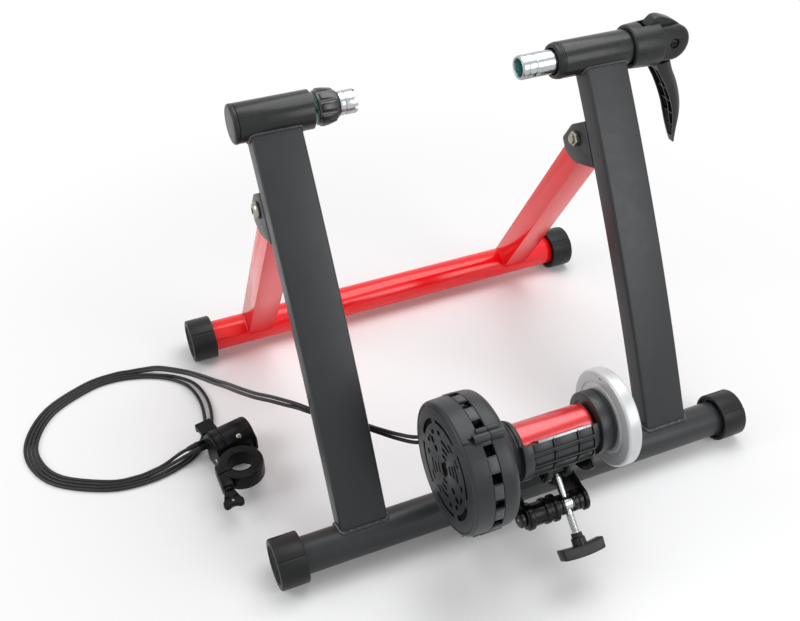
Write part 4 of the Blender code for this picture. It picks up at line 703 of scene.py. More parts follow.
# The rear frame is a round tube with two rectangular legs welded on, in glossy red powder coat. It swings
# on two bolts through the fold brackets, and lies against the uprights when the trainer is folded.

REAR_Y = 0.2347
REAR_R = 0.0185
REAR_HALF = 0.2602
REAR_CAP_END = 0.2645
FOLD = Vector((0.0673, 0.3022))
FOLD_HOLE = 0.0053
LEG_WIDE = 0.0320
LEG_DEEP = 0.0295
leg_line = Vector((REAR_Y, REST)) - FOLD
leg_way = leg_line.normalized()
leg_side = Vector((leg_way.y, -leg_way.x))

red_coat = finish("red_powder_coat", (0.95, 0.004, 0.009), (0.90, 0.003, 0.007), 0.15, 0.03, 0.0014,
                  0.00003, patch_size=0.06, coat=0.10, shine=0.45)
show("rear_cross_tube", cross_tube(REAR_HALF, 0.0170, REAR_R, REAR_Y), red_coat, "rear_frame",
     ["rear_tube"])
for side, word in SIDES:
    cap("rear_cap_" + word, "rear_%s_foot" % word, REAR_CAP_END, REAR_R, REAR_Y, "rear_frame")

half = LEG_DEEP / 2
lean = math.degrees(math.atan2(leg_way.y, leg_way.x))
leg_end = FOLD + leg_way * (leg_line.length - 0.006)
leg_outline = (arc(FOLD, half, lean + 90.0, lean + 270.0, 24)
               + [tuple(leg_end + leg_side * half * s) for s in (1, -1)])
for side, word in SIDES:
    middle = side * UPRIGHT_X
    node = "rear_%s_leg" % word
    leg = plate([leg_outline, circle(FOLD, FOLD_HOLE, 24)], middle - LEG_WIDE / 2, middle + LEG_WIDE / 2,
                0.0024, segments=3)
    # a spacer sleeve keeps the leg between the bracket's plates
    low, high = middle - 0.0215, middle + 0.0215
    sleeve = lathe([(low, FOLD_HOLE), (low, 0.0085), (high, 0.0085), (high, FOLD_HOLE)], FOLD, 32)
    show(word + "_swing_leg", gathered([leg, sleeve]), red_coat, "rear_frame", [node], angle=40.0)
    bead = saddle_line(middle, LEG_WIDE / 2, LEG_DEEP / 2, Vector((REAR_Y, REST)), -leg_way, leg_side,
                       REAR_R + BEAD_OUT)
    weld(word + "_leg_weld", bead, 0.0014, 0.40, red_coat, "rear_frame")


# Each fold bracket is a pair of 3 mm steel plates welded to the sides of an upright. An 8 mm bolt with a
# round socket head passes through plates and leg and takes a nut on the inside.

bracket_edge = [on_upright(s, -UPRIGHT_DEEP / 2 - 0.0003)
                for s in (0.725, 0.745, 0.765, 0.785, 0.805, 0.825, 0.843)]
# the plate's free edge round the bolt, in leg depths from the bolt
rim = [FOLD + Vector(v) * LEG_DEEP
       for v in ((0.420, 0.363), (0.922, -0.427), (0.631, -0.831), (0.095, -0.973), (-0.251, -0.915))]
bracket = rounded([(*p, 0.0) for p in bracket_edge] + [tuple(p) for p in rim], 0.0030)
plated = finish("plated_steel", (0.27, 0.25, 0.21), (0.38, 0.36, 0.31), 0.20, 0.06, 0.0007, 0.00002,
                patch_size=0.006, metallic=1.0)
for side, word in SIDES:
    for depth, which, outwards in ((0.1545, "inner", -1), (0.2015, "outer", 1)):
        node = "%s_fold_bracket_%s" % (word, which)
        middle = side * depth
        show("%s_%s_bracket_plate" % (word, which),
             plate([bracket, circle(FOLD, 0.0052, 24)], middle - 0.0015, middle + 0.0015, 0.0004),
             black_coat, "frame", [node])
        bead = [(side * (depth + 0.0012 * outwards), *p) for p in bracket_edge]
        weld("%s_%s_bracket_weld" % (word, which), bead, 0.0011, 0.3, weld_coat, "frame", False)
    bolt = spun([(0.1452, 0.0, 0.0), (0.1452, 0.0049), (0.2033, 0.0049, 0.0), (0.2033, 0.0088, 0.0006),
                 (0.2060, 0.0088, 0.0010), (0.2086, 0.0062, 0.0016), (0.2088, 0.0, 0.0)], 0.0006, FOLD, 48)
    bolt = combined(bolt, [cylinder(0.2060, 0.2100, 0.0037, FOLD, 6)])
    nut = spun([(0.1472, 0.0052, 0.0004), (0.1472, 0.0078, 0.0010), (0.1527, 0.0086, 0.0008),
                (0.1527, 0.0052, 0.0)], 0.0005, FOLD, 6)
    for what, shape in (("bolt", bolt), ("nut", nut)):
        show("%s_pivot_%s" % (word, what), to_left(shape) if side < 0 else shape, plated, "frame",
             ["%s_fold_%s" % (word, what)])


# The left axle tube is welded across the upright's head and closed by a moulded plug. The adjuster's
# threaded spindle runs in a steel nut in its other end; a fluted knob turns it, and a notched cup takes
# the wheel axle's nut.

tube_coat = finish("axle_tube_coat", (0.011, 0.012, 0.013), (0.016, 0.017, 0.018), 0.27, 0.04, 0.0010,
                   0.00004, patch_size=0.05, shine=0.35)
moulded_black = finish("moulded_black", (0.011, 0.012, 0.013), (0.016, 0.017, 0.018), 0.34, 0.06, 0.0006,
                       0.00004, patch_size=0.02, shine=0.30)
bright_steel = finish("bright_steel", (0.50, 0.53, 0.54), (0.40, 0.43, 0.44), 0.20, 0.06, 0.0008,
                      0.000006, patch_size=0.008, metallic=1.0)
bush_look = finish("bush_black", (0.004, 0.0042, 0.0045), (0.008, 0.0083, 0.0087), 0.18, 0.05, 0.0008,
                   0.00002, patch_size=0.01, shine=0.28)
teal_zinc = finish("teal_zinc", (0.10, 0.26, 0.24), (0.14, 0.32, 0.30), 0.30, 0.06, 0.0007, 0.00001,
                   patch_size=0.01, metallic=0.8)
knob_black = finish("knob_black", (0.012, 0.013, 0.014), (0.018, 0.019, 0.020), 0.22, 0.05, 0.0006,
                    0.00003, patch_size=0.02, shine=0.55)


def axle_tube(low, high):
    """A short round tube on the wheel axle's line."""
    return spun([(low, 0.0175), (low, TUBE_R), (high, TUBE_R), (high, 0.0175)], 0.0007, AXLE, 96)


def axle_ring(shape, count, start, look):
    """Copies of a shape, made round the X axis, in a ring about the wheel axle's line."""
    return grown(shape, ring_copies, Count=count, Start=start, Centre=(0.0, *AXLE), Look=look)


show("left_cross_tube", axle_tube(-0.2118, -0.1390), tube_coat, "frame", ["left_axle_tube"])
show("left_end_plug", turned([(-0.2001, 0.0172), (-0.2121, 0.0172, 0.0), (-0.2121, 0.0186, 0.0002),
                              (-0.2127, 0.0192, 0.0004), (-0.2160, 0.0192, 0.0014),
                              (-0.2173, 0.0174, 0.0010)], 0.0006, AXLE, 96),
     moulded_black, "frame", ["left_tube_plug"])
KNOB_FROM, KNOB_TO = -0.1343, -0.1131
SPINDLE_BORE = 0.0054
knob = spun([(KNOB_TO, SPINDLE_BORE, 0.0), (KNOB_TO, 0.0136), (KNOB_TO - 0.0028, 0.0142, 0.0006),
             (KNOB_TO - 0.0028, 0.0162, 0.0008), (KNOB_TO - 0.0120, 0.0182, 0.0020),
             (KNOB_FROM + 0.0034, 0.0184, 0.0008), (KNOB_FROM + 0.0030, 0.0166, 0.0004),
             (KNOB_FROM, 0.0166, 0.0010), (KNOB_FROM, SPINDLE_BORE, 0.0)], 0.0008, AXLE, 144)
flute = placed(turned([(-0.0070, 0.0034, 0.0012), (0.0130, 0.0030, 0.0010)], 0.0010, (0.0, 0.0192), 20),
               (KNOB_FROM + 0.0090, 0.0, 0.0))
knob = softened(combined(knob, [axle_ring(flute, 10, 0.2, knob_black)]), 0.0004, 2, 35.0)
show("fluted_knob", knob, knob_black, "knob", ["adjuster_knob"])
washer = spun([(KNOB_FROM - 0.0003, SPINDLE_BORE, 0.0), (KNOB_FROM - 0.0003, 0.0142),
               (KNOB_FROM + 0.0001, 0.0142), (KNOB_FROM + 0.0001, SPINDLE_BORE, 0.0)], 0.0001, AXLE, 64)
show("knob_washer", washer, teal_zinc, "knob")
THREAD_PITCH = 0.00125
thread = []
for i in range(44):
    at = -0.1885 + THREAD_PITCH * i
    thread += [(at, 0.0043), (at + 0.00045, 0.0050), (at + 0.0008, 0.0050)]
show("threaded_spindle", lathe([(-0.1891, 0.0), (-0.1891, 0.0042), *thread, (-0.1271, 0.0044),
                                (-0.1271, 0.0)], AXLE, 40), bright_steel, "knob", ["adjuster_spindle"])
CUP_FROM, CUP_TO = -0.1115, -0.0940
cup = turned([(CUP_TO - 0.0110, 0.0080), (CUP_TO - 0.0008, 0.0089, 0.0004), (CUP_TO, 0.0097, 0.0003),
              (CUP_TO, 0.0112, 0.0004), (CUP_TO - 0.0006, 0.0117, 0.0004),
              (CUP_FROM + 0.0062, 0.0117, 0.0002), (CUP_FROM + 0.0058, 0.0111, 0.0002),
              (CUP_FROM + 0.0046, 0.0111, 0.0002), (CUP_FROM + 0.0042, 0.0117, 0.0002),
              (CUP_FROM, 0.0117, 0.0006), (CUP_FROM, 0.0046, 0.0), (-0.1255, 0.0046)], 0.0004, AXLE, 96)
notch = block((0.0060, 0.0060, 0.0032), (CUP_TO, 0.0110, 0.0), 0.0003)
show("notched_cup", combined(cup, [axle_ring(notch, 8, 0.15, bright_steel)]), bright_steel, "cup",
     ["axle_cup"])


# The nut that the spindle runs in is zinc plated steel, fixed inside the left axle tube. It is out of
# sight, so its plain CAD form stays and takes the plated look.

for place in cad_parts["adjuster_nut"].material_slots:
    place.material = plated


# The right axle tube carries the quick lever. A black bush guides the hollow steel plunger, whose end
# takes the other axle nut; a cam on the lever pushes the plunger in.

show("right_cross_tube", axle_tube(0.1303, 0.2170), tube_coat, "frame", ["right_axle_tube"])
show("guide_bush", spun([(0.1420, 0.0130, 0.0), (0.1420, 0.0172), (0.1300, 0.0172, 0.0),
                         (0.1300, 0.0190, 0.0003), (0.1280, 0.0190, 0.0004), (0.1277, 0.0183, 0.0002),
                         (0.1268, 0.0183, 0.0002), (0.1265, 0.0188, 0.0004), (0.1232, 0.0176, 0.0012),
                         (0.1230, 0.0166, 0.0006), (0.1230, 0.0142, 0.0006), (0.1262, 0.0130, 0.0004)],
                        0.0006, AXLE, 96), moulded_black, "frame", ["right_tube_bush"])
PLUNGER_FROM = 0.0839
PLUNGER_R = 0.0126


def from_tip(*points):
    """Profile points whose x is measured from the plunger's open end."""
    return [(PLUNGER_FROM + point[0], *point[1:]) for point in points]


show("hollow_plunger", turned(
    [(0.2159, 0.0060), (0.1499, 0.0060, 0.0004), (0.1499, PLUNGER_R, 0.0010)]
    + from_tip((0.0172, PLUNGER_R, 0.0003), (0.0168, 0.0120, 0.0002), (0.0160, 0.0120, 0.0002),
               (0.0156, PLUNGER_R, 0.0003), (0.0084, PLUNGER_R, 0.0002), (0.0080, 0.0123, 0.0002),
               (0.0074, PLUNGER_R, 0.0002), (0.0016, PLUNGER_R, 0.0006), (0.0, 0.0116, 0.0004),
               (0.0, 0.0104, 0.0004), (0.0010, 0.0097, 0.0004), (0.0100, 0.0094, 0.0008),
               (0.0120, 0.0080, 0.0006)), 0.0006, AXLE, 128), bright_steel, "plunger", ["axle_plunger"])
lining = spun(from_tip((0.0012, 0.0091), (0.0012, 0.0096), (0.0098, 0.0093), (0.0118, 0.0080),
                       (0.0118, 0.0, 0.0), (0.0112, 0.0, 0.0), (0.0112, 0.0075)), 0.0003, AXLE, 64)
show("plunger_lining", lining, teal_zinc, "plunger")


# The lever's housing is one moulding in satin black: a collar pushed over the tube and a fork with round
# cheeks. The lever turns between them on a steel pin; its handle is an open channel with ribs.

AXLE_Y, AXLE_Z = AXLE
PIVOT_X = 0.2645
PIVOT = (PIVOT_X, *AXLE)
CHEEK_R = 0.0195
CHEEK_WIDE = 0.0280
CHEEK_FROM = 0.2330
collar = turned([(0.2460, 0.0250, 0.0020), (0.2125, 0.0231, 0.0010), (0.2107, 0.0219, 0.0012),
                 (0.2107, 0.0193, 0.0003), (0.2173, 0.0193, 0.0)], 0.0006, AXLE, 96)
cheek_line = ([(CHEEK_FROM, AXLE_Z + CHEEK_R)] + arc((PIVOT_X, AXLE_Z), CHEEK_R, 90.0, -90.0, 32)
              + [(CHEEK_FROM, AXLE_Z - CHEEK_R)])
cheeks = plate([cheek_line], AXLE_Y - CHEEK_WIDE / 2, AXLE_Y + CHEEK_WIDE / 2, 0.0042, "front", 4)
lever_room = block((0.0900, 0.0138, 0.0800), (0.2250 + 0.0450, AXLE_Y, AXLE_Z))
seat = placed(cylinder(-0.0010, 0.0060, 0.0056, steps=40),
              (PIVOT_X, AXLE_Y - CHEEK_WIDE / 2 + 0.0024, AXLE_Z), -90.0, "Z")
bore = placed(cylinder(-0.0400, 0.0400, 0.0033, steps=24), PIVOT, 90.0, "Z")
tail_room = cylinder(0.2000, CHEEK_FROM, 0.0064, AXLE, 32)
housing = combined(combined(collar, [cheeks], "UNION"), [lever_room, seat, bore, tail_room])
show("lever_fork", softened(housing, 0.0006, 2, 50.0), moulded_black, "frame", ["lever_housing"],
     angle=36.0)

pin = turned([(-0.0136, 0.0018, 0.0), (-0.0130, 0.0040, 0.0012), (-0.0118, 0.0045, 0.0006),
              (-0.0114, 0.0030, 0.0), (0.0132, 0.0030)], 0.0004, steps=36)
cross = [block((0.0030, deep, high), (-0.0136, 0.0, 0.0)) for deep, high in ((0.0010, 0.0052),
                                                                            (0.0052, 0.0010))]
show("pivot_screw", placed(combined(pin, cross), PIVOT, 90.0, "Z"), bush_look, "frame", ["lever_pin"])

HEAD_WIDE = 0.0130
head_line = rounded(arc((0.0, 0.0), 0.0160, -75.0, 0.0, 12) + arc((0.0, 0.0), 0.0192, 12.0, 60.0, 8)
                    + [(0.0010, 0.0228), (-0.0090, 0.0272), (-0.0175, 0.0300), (-0.0240, 0.0300),
                       (-0.0310, 0.0238), (-0.0336, 0.0196), (-0.0275, 0.0160), (-0.0205, 0.0110),
                       (-0.0175, 0.0020), (-0.0172, -0.0090), (-0.0180, -0.0200), (-0.0172, -0.0270),
                       (-0.0060, -0.0300), (0.0030, -0.0300), (0.0040, -0.0200)], 0.0060, steps=4)
head = plate([[(PIVOT_X + u, AXLE_Z + v) for u, v in head_line], circle((PIVOT_X, AXLE_Z), 0.0034, 24)],
             AXLE_Y - HEAD_WIDE / 2, AXLE_Y + HEAD_WIDE / 2, 0.0014, "front", 3)
# handle sections down the lever: outer x, inner x, height and width, from the pivot
sections = smooth([(0.0042, -0.0178, -0.0215, 0.0240), (0.0085, -0.0118, -0.0330, 0.0262),
                   (0.0165, -0.0020, -0.0480, 0.0268), (0.0228, 0.0066, -0.0640, 0.0264),
                   (0.0268, 0.0134, -0.0790, 0.0252), (0.0285, 0.0182, -0.0940, 0.0226),
                   (0.0290, 0.0222, -0.1080, 0.0180), (0.0304, 0.0262, -0.1210, 0.0120),
                   (0.0318, 0.0290, -0.1285, 0.0080)], 5)


def handle_skin(shrink, inward):
    """A closed form down the handle, its back rounded over; shrink and inward make its hollow."""
    work = bmesh.new()
    rings = []
    for outer, inner, height, wide in sections:
        half, far, near = wide / 2 - shrink, outer - shrink, inner - inward
        if inward:
            near, far = min(near, far - 0.0005), max(far, inner + 0.0002)
        deep = far - near
        flank, back = near + deep * 0.55, half * 0.62
        ring = rounded([(near, -half, 0.0005), (flank, -half, deep * 0.4), (far, -back, half * 0.5),
                        (far, back, half * 0.5), (flank, half, deep * 0.4), (near, half, 0.0005)],
                       0.001, steps=5)
        rings.append([work.verts.new((PIVOT_X + u, AXLE_Y + v, AXLE_Z + height)) for u, v in ring])
    for a, b in zip(rings, rings[1:]):
        for k in range(len(a)):
            j = (k + 1) % len(a)
            work.faces.new((a[k], a[j], b[j], b[k]))
    work.faces.new(rings[0])
    work.faces.new(rings[-1])
    return to_mesh(work)


# the hollow runs between two heights below the pivot
hollow = bmesh.new()
hollow.from_mesh(handle_skin(0.0022, 0.0060))
for height, facing in ((-0.0300, 1.0), (-0.1200, -1.0)):
    bmesh.ops.bisect_plane(hollow, geom=hollow.verts[:] + hollow.edges[:] + hollow.faces[:],
                           plane_co=(0.0, 0.0, AXLE_Z + height), plane_no=(0.0, 0.0, facing),
                           clear_outer=True)
bmesh.ops.holes_fill(hollow, edges=hollow.edges)
handle = combined(handle_skin(0.0, 0.0), [to_mesh(hollow)])
ribbed = [section for section in sections if section[2] < -0.024]
rib_line = [(PIVOT_X + outer - 0.0012, AXLE_Z + height) for outer, inner, height, wide in ribbed]
rib_line += [(PIVOT_X + inner + 0.0016, AXLE_Z + height) for outer, inner, height, wide in ribbed[::-1]]
mid_rib = plate([rib_line], AXLE_Y - 0.0009, AXLE_Y + 0.0009, 0.0003, "front")
web = block((0.0130, 0.0200, 0.0014), (PIVOT_X + 0.0110, AXLE_Y, AXLE_Z - 0.0560), 0.0003)
webs = grown(web, row_copies, Count=4, Step=(0.0048, 0.0, -0.0165), Look=moulded_black)
inside = combined(handle_skin(0.0006, -0.0018), [webs], "INTERSECT")
show("cam_lever_arm", gathered([head, handle, mid_rib, inside]), moulded_black, "lever", ["cam_lever"],
     angle=36.0)


# The roller unit hangs in a welded bracket on the base tube: two plates with a seat, a web and a tubular
# boss, black coated. A pin in its top lets the unit swing; a turned cross pin below takes the screw.

SWING = Vector((-0.1340, 0.0920))
CROSS = Vector((-0.2135, 0.0810))
SWIVEL = Vector((-0.1863, 0.1038))
PIN_R = 0.0050
PIN_BORE = 0.0054
CHEEKS = (("left", -0.0445), ("right", 0.0180))
bracket_coat = finish("bracket_coat", (0.004, 0.0042, 0.0045), (0.007, 0.0073, 0.0077), 0.24, 0.06,
                      0.0010, 0.00006, patch_size=0.03, shine=0.20)
cheek_edge = (arc(SWING, 0.0120, -10.0, 110.0, 16) + [(-0.1700, 0.0985)]
              + arc(CROSS, 0.0120, 80.0, 250.0, 20)
              + [(-0.1800, 0.0590), (-0.1495, 0.0400), (-0.1470, 0.0330), (-0.1130, 0.0330)])
left_cheek, right_cheek = (plate([cheek_edge], middle - 0.00225, middle + 0.00225, 0.0007)
                           for word, middle in CHEEKS)
boss = spun([(-0.0445, 0.0), (-0.0445, 0.0135), (-0.0395, 0.0135), (-0.0385, 0.0112), (-0.0265, 0.0112),
             (-0.0262, 0.0128), (-0.0215, 0.0128), (-0.0212, 0.0116), (-0.0170, 0.0116),
             (-0.0168, 0.0135), (-0.0126, 0.0135), (-0.0126, 0.0)], 0.0006, CROSS, 64)
PLATES_WIDE, PLATES_MID = 0.0625, -0.01325
tube_seat = block((PLATES_WIDE, 0.0300, 0.0060), (PLATES_MID, BASE_Y, 0.0469), 0.0008)
web = block((PLATES_WIDE, 0.0040, 0.0260), (PLATES_MID, BASE_Y - 0.0215, 0.0555), 0.0008)
rooms = [cylinder(-0.1000, 0.1000, TUBE_R + 0.0003, (BASE_Y, REST), 96)]
rooms += [cylinder(-0.1000, 0.1000, PIN_BORE, spot, 32) for spot in (CROSS, SWING)]
made = combined(combined(left_cheek, [right_cheek, boss, tube_seat, web], "UNION"), rooms)
show("swing_bracket", made, bracket_coat, "frame", ["unit_bracket"], angle=36.0)
foot_r = TUBE_R + 0.0006
for word, middle in CHEEKS:
    turns = [math.radians(48.0 + 84.0 * k / 20) for k in range(21)]
    bead = [(middle + s * 0.0026, BASE_Y + foot_r * math.cos(t), REST + foot_r * math.sin(t))
            for s, run in ((-1, turns), (1, turns[::-1])) for t in run]
    weld(word + "_bracket_foot_weld", bead, 0.0012, 0.34, weld_coat, "frame")


def headed_pin(spot, tip, head_from, head_deep, head_r):
    """A pin along X with a round head at its left end that has a hex recess."""
    face = head_from - head_deep
    body = turned([(face, head_r - 0.0008), (face + 0.0012, head_r), (head_from, head_r),
                   (head_from, PIN_R, 0.0), (tip, PIN_R)], 0.0008, spot, 48)
    return combined(body, [cylinder(face - 0.0010, face + 0.0016, 0.0030, spot, 6)])


HEAD_FROM = -0.04705
show("boss_screw", headed_pin(CROSS, -0.0290, HEAD_FROM, 0.0055, 0.0088), bush_look, "frame",
     ["bracket_bolt"])
# a small plated dome fills the boss screw's hex socket; it is a painted highlight that stands for the
# bright glint in the socket
dot = spun([(-0.0530, 0.0, 0.0), (-0.0528, 0.0016), (-0.0518, 0.0028), (-0.0505, 0.0028),
            (-0.0505, 0.0, 0.0)], 0.0004, CROSS, 24)
show("boss_screw_socket_glint", dot, plated, "frame")
show("unit_swing_pin", headed_pin(SWING, 0.02325, HEAD_FROM, 0.0030, 0.0082), plated, "frame",
     ["swing_pin"])
for word, low, high in (("left", -0.0123, -0.0048), ("right", 0.0048, 0.01545)):
    middle = (low + high) / 2
    bush = spun([(low, 0.0080), (low, 0.0100), (middle - 0.0006, 0.0100), (middle - 0.0004, 0.0090),
                 (middle + 0.0004, 0.0090), (middle + 0.0006, 0.0100), (high, 0.0100), (high, 0.0080)],
                0.0005, CROSS, 48)
    show(word + "_cross_bush", bush, bush_look, "frame", ["bracket_bush_" + word])
journal = turned([(-0.0222, PIN_R), (-0.0082, PIN_R, 0.0), (-0.0082, 0.0078, 0.0010),
                  (-0.0052, 0.0078, 0.0002), (-0.0049, 0.0075, 0.0002), (-0.0046, 0.0078, 0.0002),
                  (0.0046, 0.0078, 0.0002), (0.0049, 0.0075, 0.0002), (0.0052, 0.0078, 0.0002),
                  (0.0082, 0.0078, 0.0010), (0.0082, PIN_R, 0.0), (0.0222, PIN_R)], 0.0005, CROSS, 64)
lift = (SWIVEL - CROSS).normalized()
rod_lean = Matrix(((1.0, 0.0, 0.0, 0.0), (0.0, lift.y, lift.x, 0.0), (0.0, -lift.x, lift.y, 0.0),
                   (0.0, 0.0, 0.0, 1.0)))
ALONG_Z = Matrix.Rotation(math.radians(-90.0), 4, "Y")


def stood(shape, at=(0.0, 0.0, 0.0), lean=Matrix.Identity(4)):
    """Stands a piece made along X up on a point, leaned by a turn."""
    shape.transform(Matrix.Translation(at) @ lean @ ALONG_Z)
    return shape


rod_hole = stood(cylinder(-0.0300, 0.0300, 0.0051, steps=40), (0.0, *CROSS), rod_lean)
show("screw_cross_pin", combined(journal, [rod_hole]), bright_steel, "cross_pin", ["trunnion"])


# The brake drum is a housing of two black nylon mouldings that meet at a seam, held together by three
# screws in bosses round the rim. Slots in its face and windows beside the seam let air through.

UNIT = Vector((-0.1800, 0.1446))
DRUM_R = 0.0655
FACE = -0.1155
SEAM = -0.0875
NECK = -0.0502
NECK_R = 0.0262
HUB_BORE = 0.0066
drum_black = finish("drum_nylon", (0.022, 0.026, 0.028), (0.028, 0.032, 0.035), 0.38, 0.05, 0.0008,
                    0.00005, patch_size=0.03, shine=0.32)
drum_pad = finish("drum_pad", (0.040, 0.045, 0.046), (0.070, 0.076, 0.077), 0.50, 0.06, 0.0006, 0.00012,
                  patch_size=0.003)
shell = spun([(FACE + 0.0008, HUB_BORE), (FACE + 0.0008, 0.0580), (FACE + 0.0040, 0.0612),
              (SEAM - 0.0003, DRUM_R - 0.0026), (SEAM - 0.0003, DRUM_R), (FACE + 0.0030, DRUM_R - 0.0012),
              (FACE + 0.0010, DRUM_R - 0.0020, 0.0007), (FACE, DRUM_R - 0.0034, 0.0007),
              (FACE, 0.0608, 0.0004), (FACE + 0.0007, 0.0605, 0.0002), (FACE + 0.0007, 0.0596, 0.0002),
              (FACE, 0.0593, 0.0003), (FACE, HUB_BORE)], 0.0004, UNIT, 192)


def arc_slot(radius, half, start, stop, belly):
    """The outline of a slot along an arc round the shaft; belly makes its middle wider."""
    def side(way, turns):
        reach = [(radius + way * (half + belly * math.sin(math.pi * t)), a) for t, a in turns]
        return [(UNIT.x + r * math.cos(a), UNIT.y + r * math.sin(a)) for r, a in reach]
    count = max(4, int(abs(stop - start) / 3.0))
    turns = [(k / count, math.radians(start + (stop - start) * k / count)) for k in range(count + 1)]
    return side(1.0, turns) + side(-1.0, turns[::-1])


# one half of the face: radius, half width, from and to in degrees; the other half is turned round
SLOTS = ((0.0462, 0.0019, 60.0, 107.0), (0.0458, 0.0019, 120.0, 173.0), (0.0362, 0.0022, 36.0, 46.0),
         (0.0362, 0.0022, 60.0, 70.0), (0.0358, 0.0017, 97.0, 111.0), (0.0356, 0.0017, 121.0, 135.0),
         (0.0352, 0.0021, 162.0, 172.0), (0.0357, 0.0021, 6.0, 16.0), (0.0290, 0.0018, 70.0, 104.0),
         (0.0284, 0.0018, 128.0, 162.0), (0.0214, 0.0018, 72.0, 100.0), (0.0214, 0.0018, 129.0, 160.0),
         (0.0138, 0.0018, 62.0, 100.0), (0.0138, 0.0018, 124.0, 164.0), (0.0082, 0.0015, 70.0, 110.0))
vents = []
for turn in (0.0, 180.0):
    vents.append(arc_slot(0.0462, 0.0024, 6.0 + turn, 49.0 + turn, 0.0005))
    vents += [arc_slot(radius, half, start + turn, stop + turn, 0.0) for radius, half, start, stop in SLOTS]
    for radius, size, bend in ((0.0215, 0.0034, 28.0), (0.0303, 0.0036, 28.0), (0.0350, 0.0018, 22.0)):
        bend = math.radians(bend + turn)
        vents.append(circle((UNIT.x + radius * math.cos(bend), UNIT.y + radius * math.sin(bend)), size, 20))
vents.append(circle(UNIT, 0.0034, 20))
vent_tool = plate(vents, FACE - 0.0020, FACE + 0.0060)


def round_unit(shape, bend):
    """Turns a shape, made at the rear of the unit's axis, round that axis by an angle in degrees."""
    there = Matrix.Translation((0.0, *UNIT))
    shape.transform(there @ Matrix.Rotation(math.radians(bend), 4, "X") @ there.inverted())
    return shape


def at_bosses(shape, lag=0.0):
    """Copies of a shape, made at the rear of the unit's axis, at the three screw bosses."""
    return gathered([round_unit(shape.copy(), bend - lag) for bend in (115.6, 235.6, 355.6)])


def ring_of(shape, count, start, look):
    """Copies of a shape round the unit's axis, the first at a start angle in degrees."""
    placed(shape, (0.0, -UNIT.x, -UNIT.y))
    return placed(grown(shape, ring_copies, Count=count, Start=math.radians(start), Look=look),
                  (0.0, *UNIT))


WINDOWS, FIRST_WINDOW = 16, 59.0
windows = ring_of(block((0.0190, 0.0120, 0.0100), (SEAM, UNIT.x + DRUM_R, UNIT.y), 0.0005), WINDOWS,
                  FIRST_WINDOW, drum_black)
# the screws' line, just outside the rim
boss_line = (UNIT.x + DRUM_R + 0.0002, UNIT.y)


def bosses(low, high, rib_low, rib_high):
    """The screw bosses on the rim, and the thinner rib beside each of them."""
    post = turned([(low, 0.0045), (high, 0.0045)], 0.0005, (UNIT.x + DRUM_R, UNIT.y), 28)
    rib = turned([(rib_low, 0.0027), (rib_high, 0.0027)], 0.0005, (UNIT.x + DRUM_R + 0.0003, UNIT.y), 28)
    return [at_bosses(post), at_bosses(rib, 5.6)]


outer_bosses = bosses(SEAM - 0.0158, SEAM - 0.0003, SEAM - 0.0110, SEAM - 0.0003)
ridge = block((0.0110, 0.0026, 0.0024), (SEAM - 0.0205, UNIT.x + DRUM_R - 0.0008, UNIT.y), 0.0006)
dips = at_bosses(cylinder(SEAM - 0.0200, SEAM - 0.0125, 0.0031, boss_line, 20))
hollow = turned([(FACE + 0.0009, 0.0580), (FACE + 0.0041, 0.0612), (SEAM + 0.0010, DRUM_R - 0.0026)],
                0.0004, UNIT, 96)
hub = spun([(FACE + 0.0030, HUB_BORE), (FACE + 0.0030, 0.0092), (-0.0910, 0.0092), (-0.0910, HUB_BORE)],
           0.0004, UNIT, 48)
whole = combined(shell, [*outer_bosses, at_bosses(ridge)], "UNION")
whole = combined(combined(whole, [hollow, dips]), [hub], "UNION")
show("drum_outer_half", combined(whole, [vent_tool, windows]), drum_black, "unit", ["drum_outer_cover"],
     angle=34.0)
pad = plate([arc(UNIT, DRUM_R + 0.00022, -5.4, 5.4, 8) + arc(UNIT, DRUM_R - 0.0004, 5.4, -5.4, 8)],
            SEAM - 0.0092, SEAM - 0.0006, 0.00015)
show("drum_rim_pads", ring_of(pad, WINDOWS, FIRST_WINDOW + 180.0 / WINDOWS, drum_pad), drum_pad, "unit")


def bell(deep, wide, size=0.0015):
    """A point of the inner cover's profile, by shares of its depth from the neck and of its rise."""
    return (NECK - (NECK - SEAM) * deep, NECK_R + (DRUM_R - NECK_R) * wide, size)


inner_half = lathe(rounded(
    [(NECK, 0.0115), (NECK, NECK_R, 0.0006), bell(0.050, 0.004, 0.0004), bell(0.070, -0.020, 0.0002),
     bell(0.090, -0.020, 0.0002), bell(0.105, 0.024, 0.0003), bell(0.220, 0.130, 0.0030),
     bell(0.330, 0.370, 0.0040), bell(0.430, 0.680, 0.0040), bell(0.530, 0.885, 0.0040),
     bell(0.610, 0.965, 0.0030), bell(0.730, 0.990, 0.0020), (SEAM + 0.0001, DRUM_R, 0.0006),
     (SEAM + 0.0001, DRUM_R - 0.0025, 0.0003), bell(0.760, 0.911), bell(0.600, 0.800),
     bell(0.500, 0.560), bell(0.400, 0.270), bell(0.310, 0.060), (NECK - 0.0098, 0.0115, 0.0)],
    0.0004, steps=5), UNIT, 192)
show("drum_inner_half", combined(inner_half, bosses(SEAM, SEAM + 0.0130, SEAM, SEAM + 0.0110), "UNION"),
     drum_black, "unit", ["drum_inner_cover"], angle=34.0)

screw = turned([(SEAM - 0.0140, 0.0024), (SEAM - 0.0126, 0.0024)], 0.0005, boss_line, 20)
screw = combined(screw, [block((0.0012, 0.0034, 0.0006), (SEAM - 0.0142, *boss_line))])
show("drum_screws", at_bosses(screw), plated, "unit")

# a thin near-black matte disc behind the slots is painted shade: it makes the inside of the drum read dark
# through the slots
slot_shade_black = finish("slot_shade_black", (0.002, 0.002, 0.002), (0.004, 0.004, 0.004), 0.85, 0.05, 0.0010,
                    0.00002, shine=0.1)
show("drum_slot_shade_disc", cylinder(FACE + 0.0018, FACE + 0.0024, 0.0560, UNIT, 64), slot_shade_black, "unit")


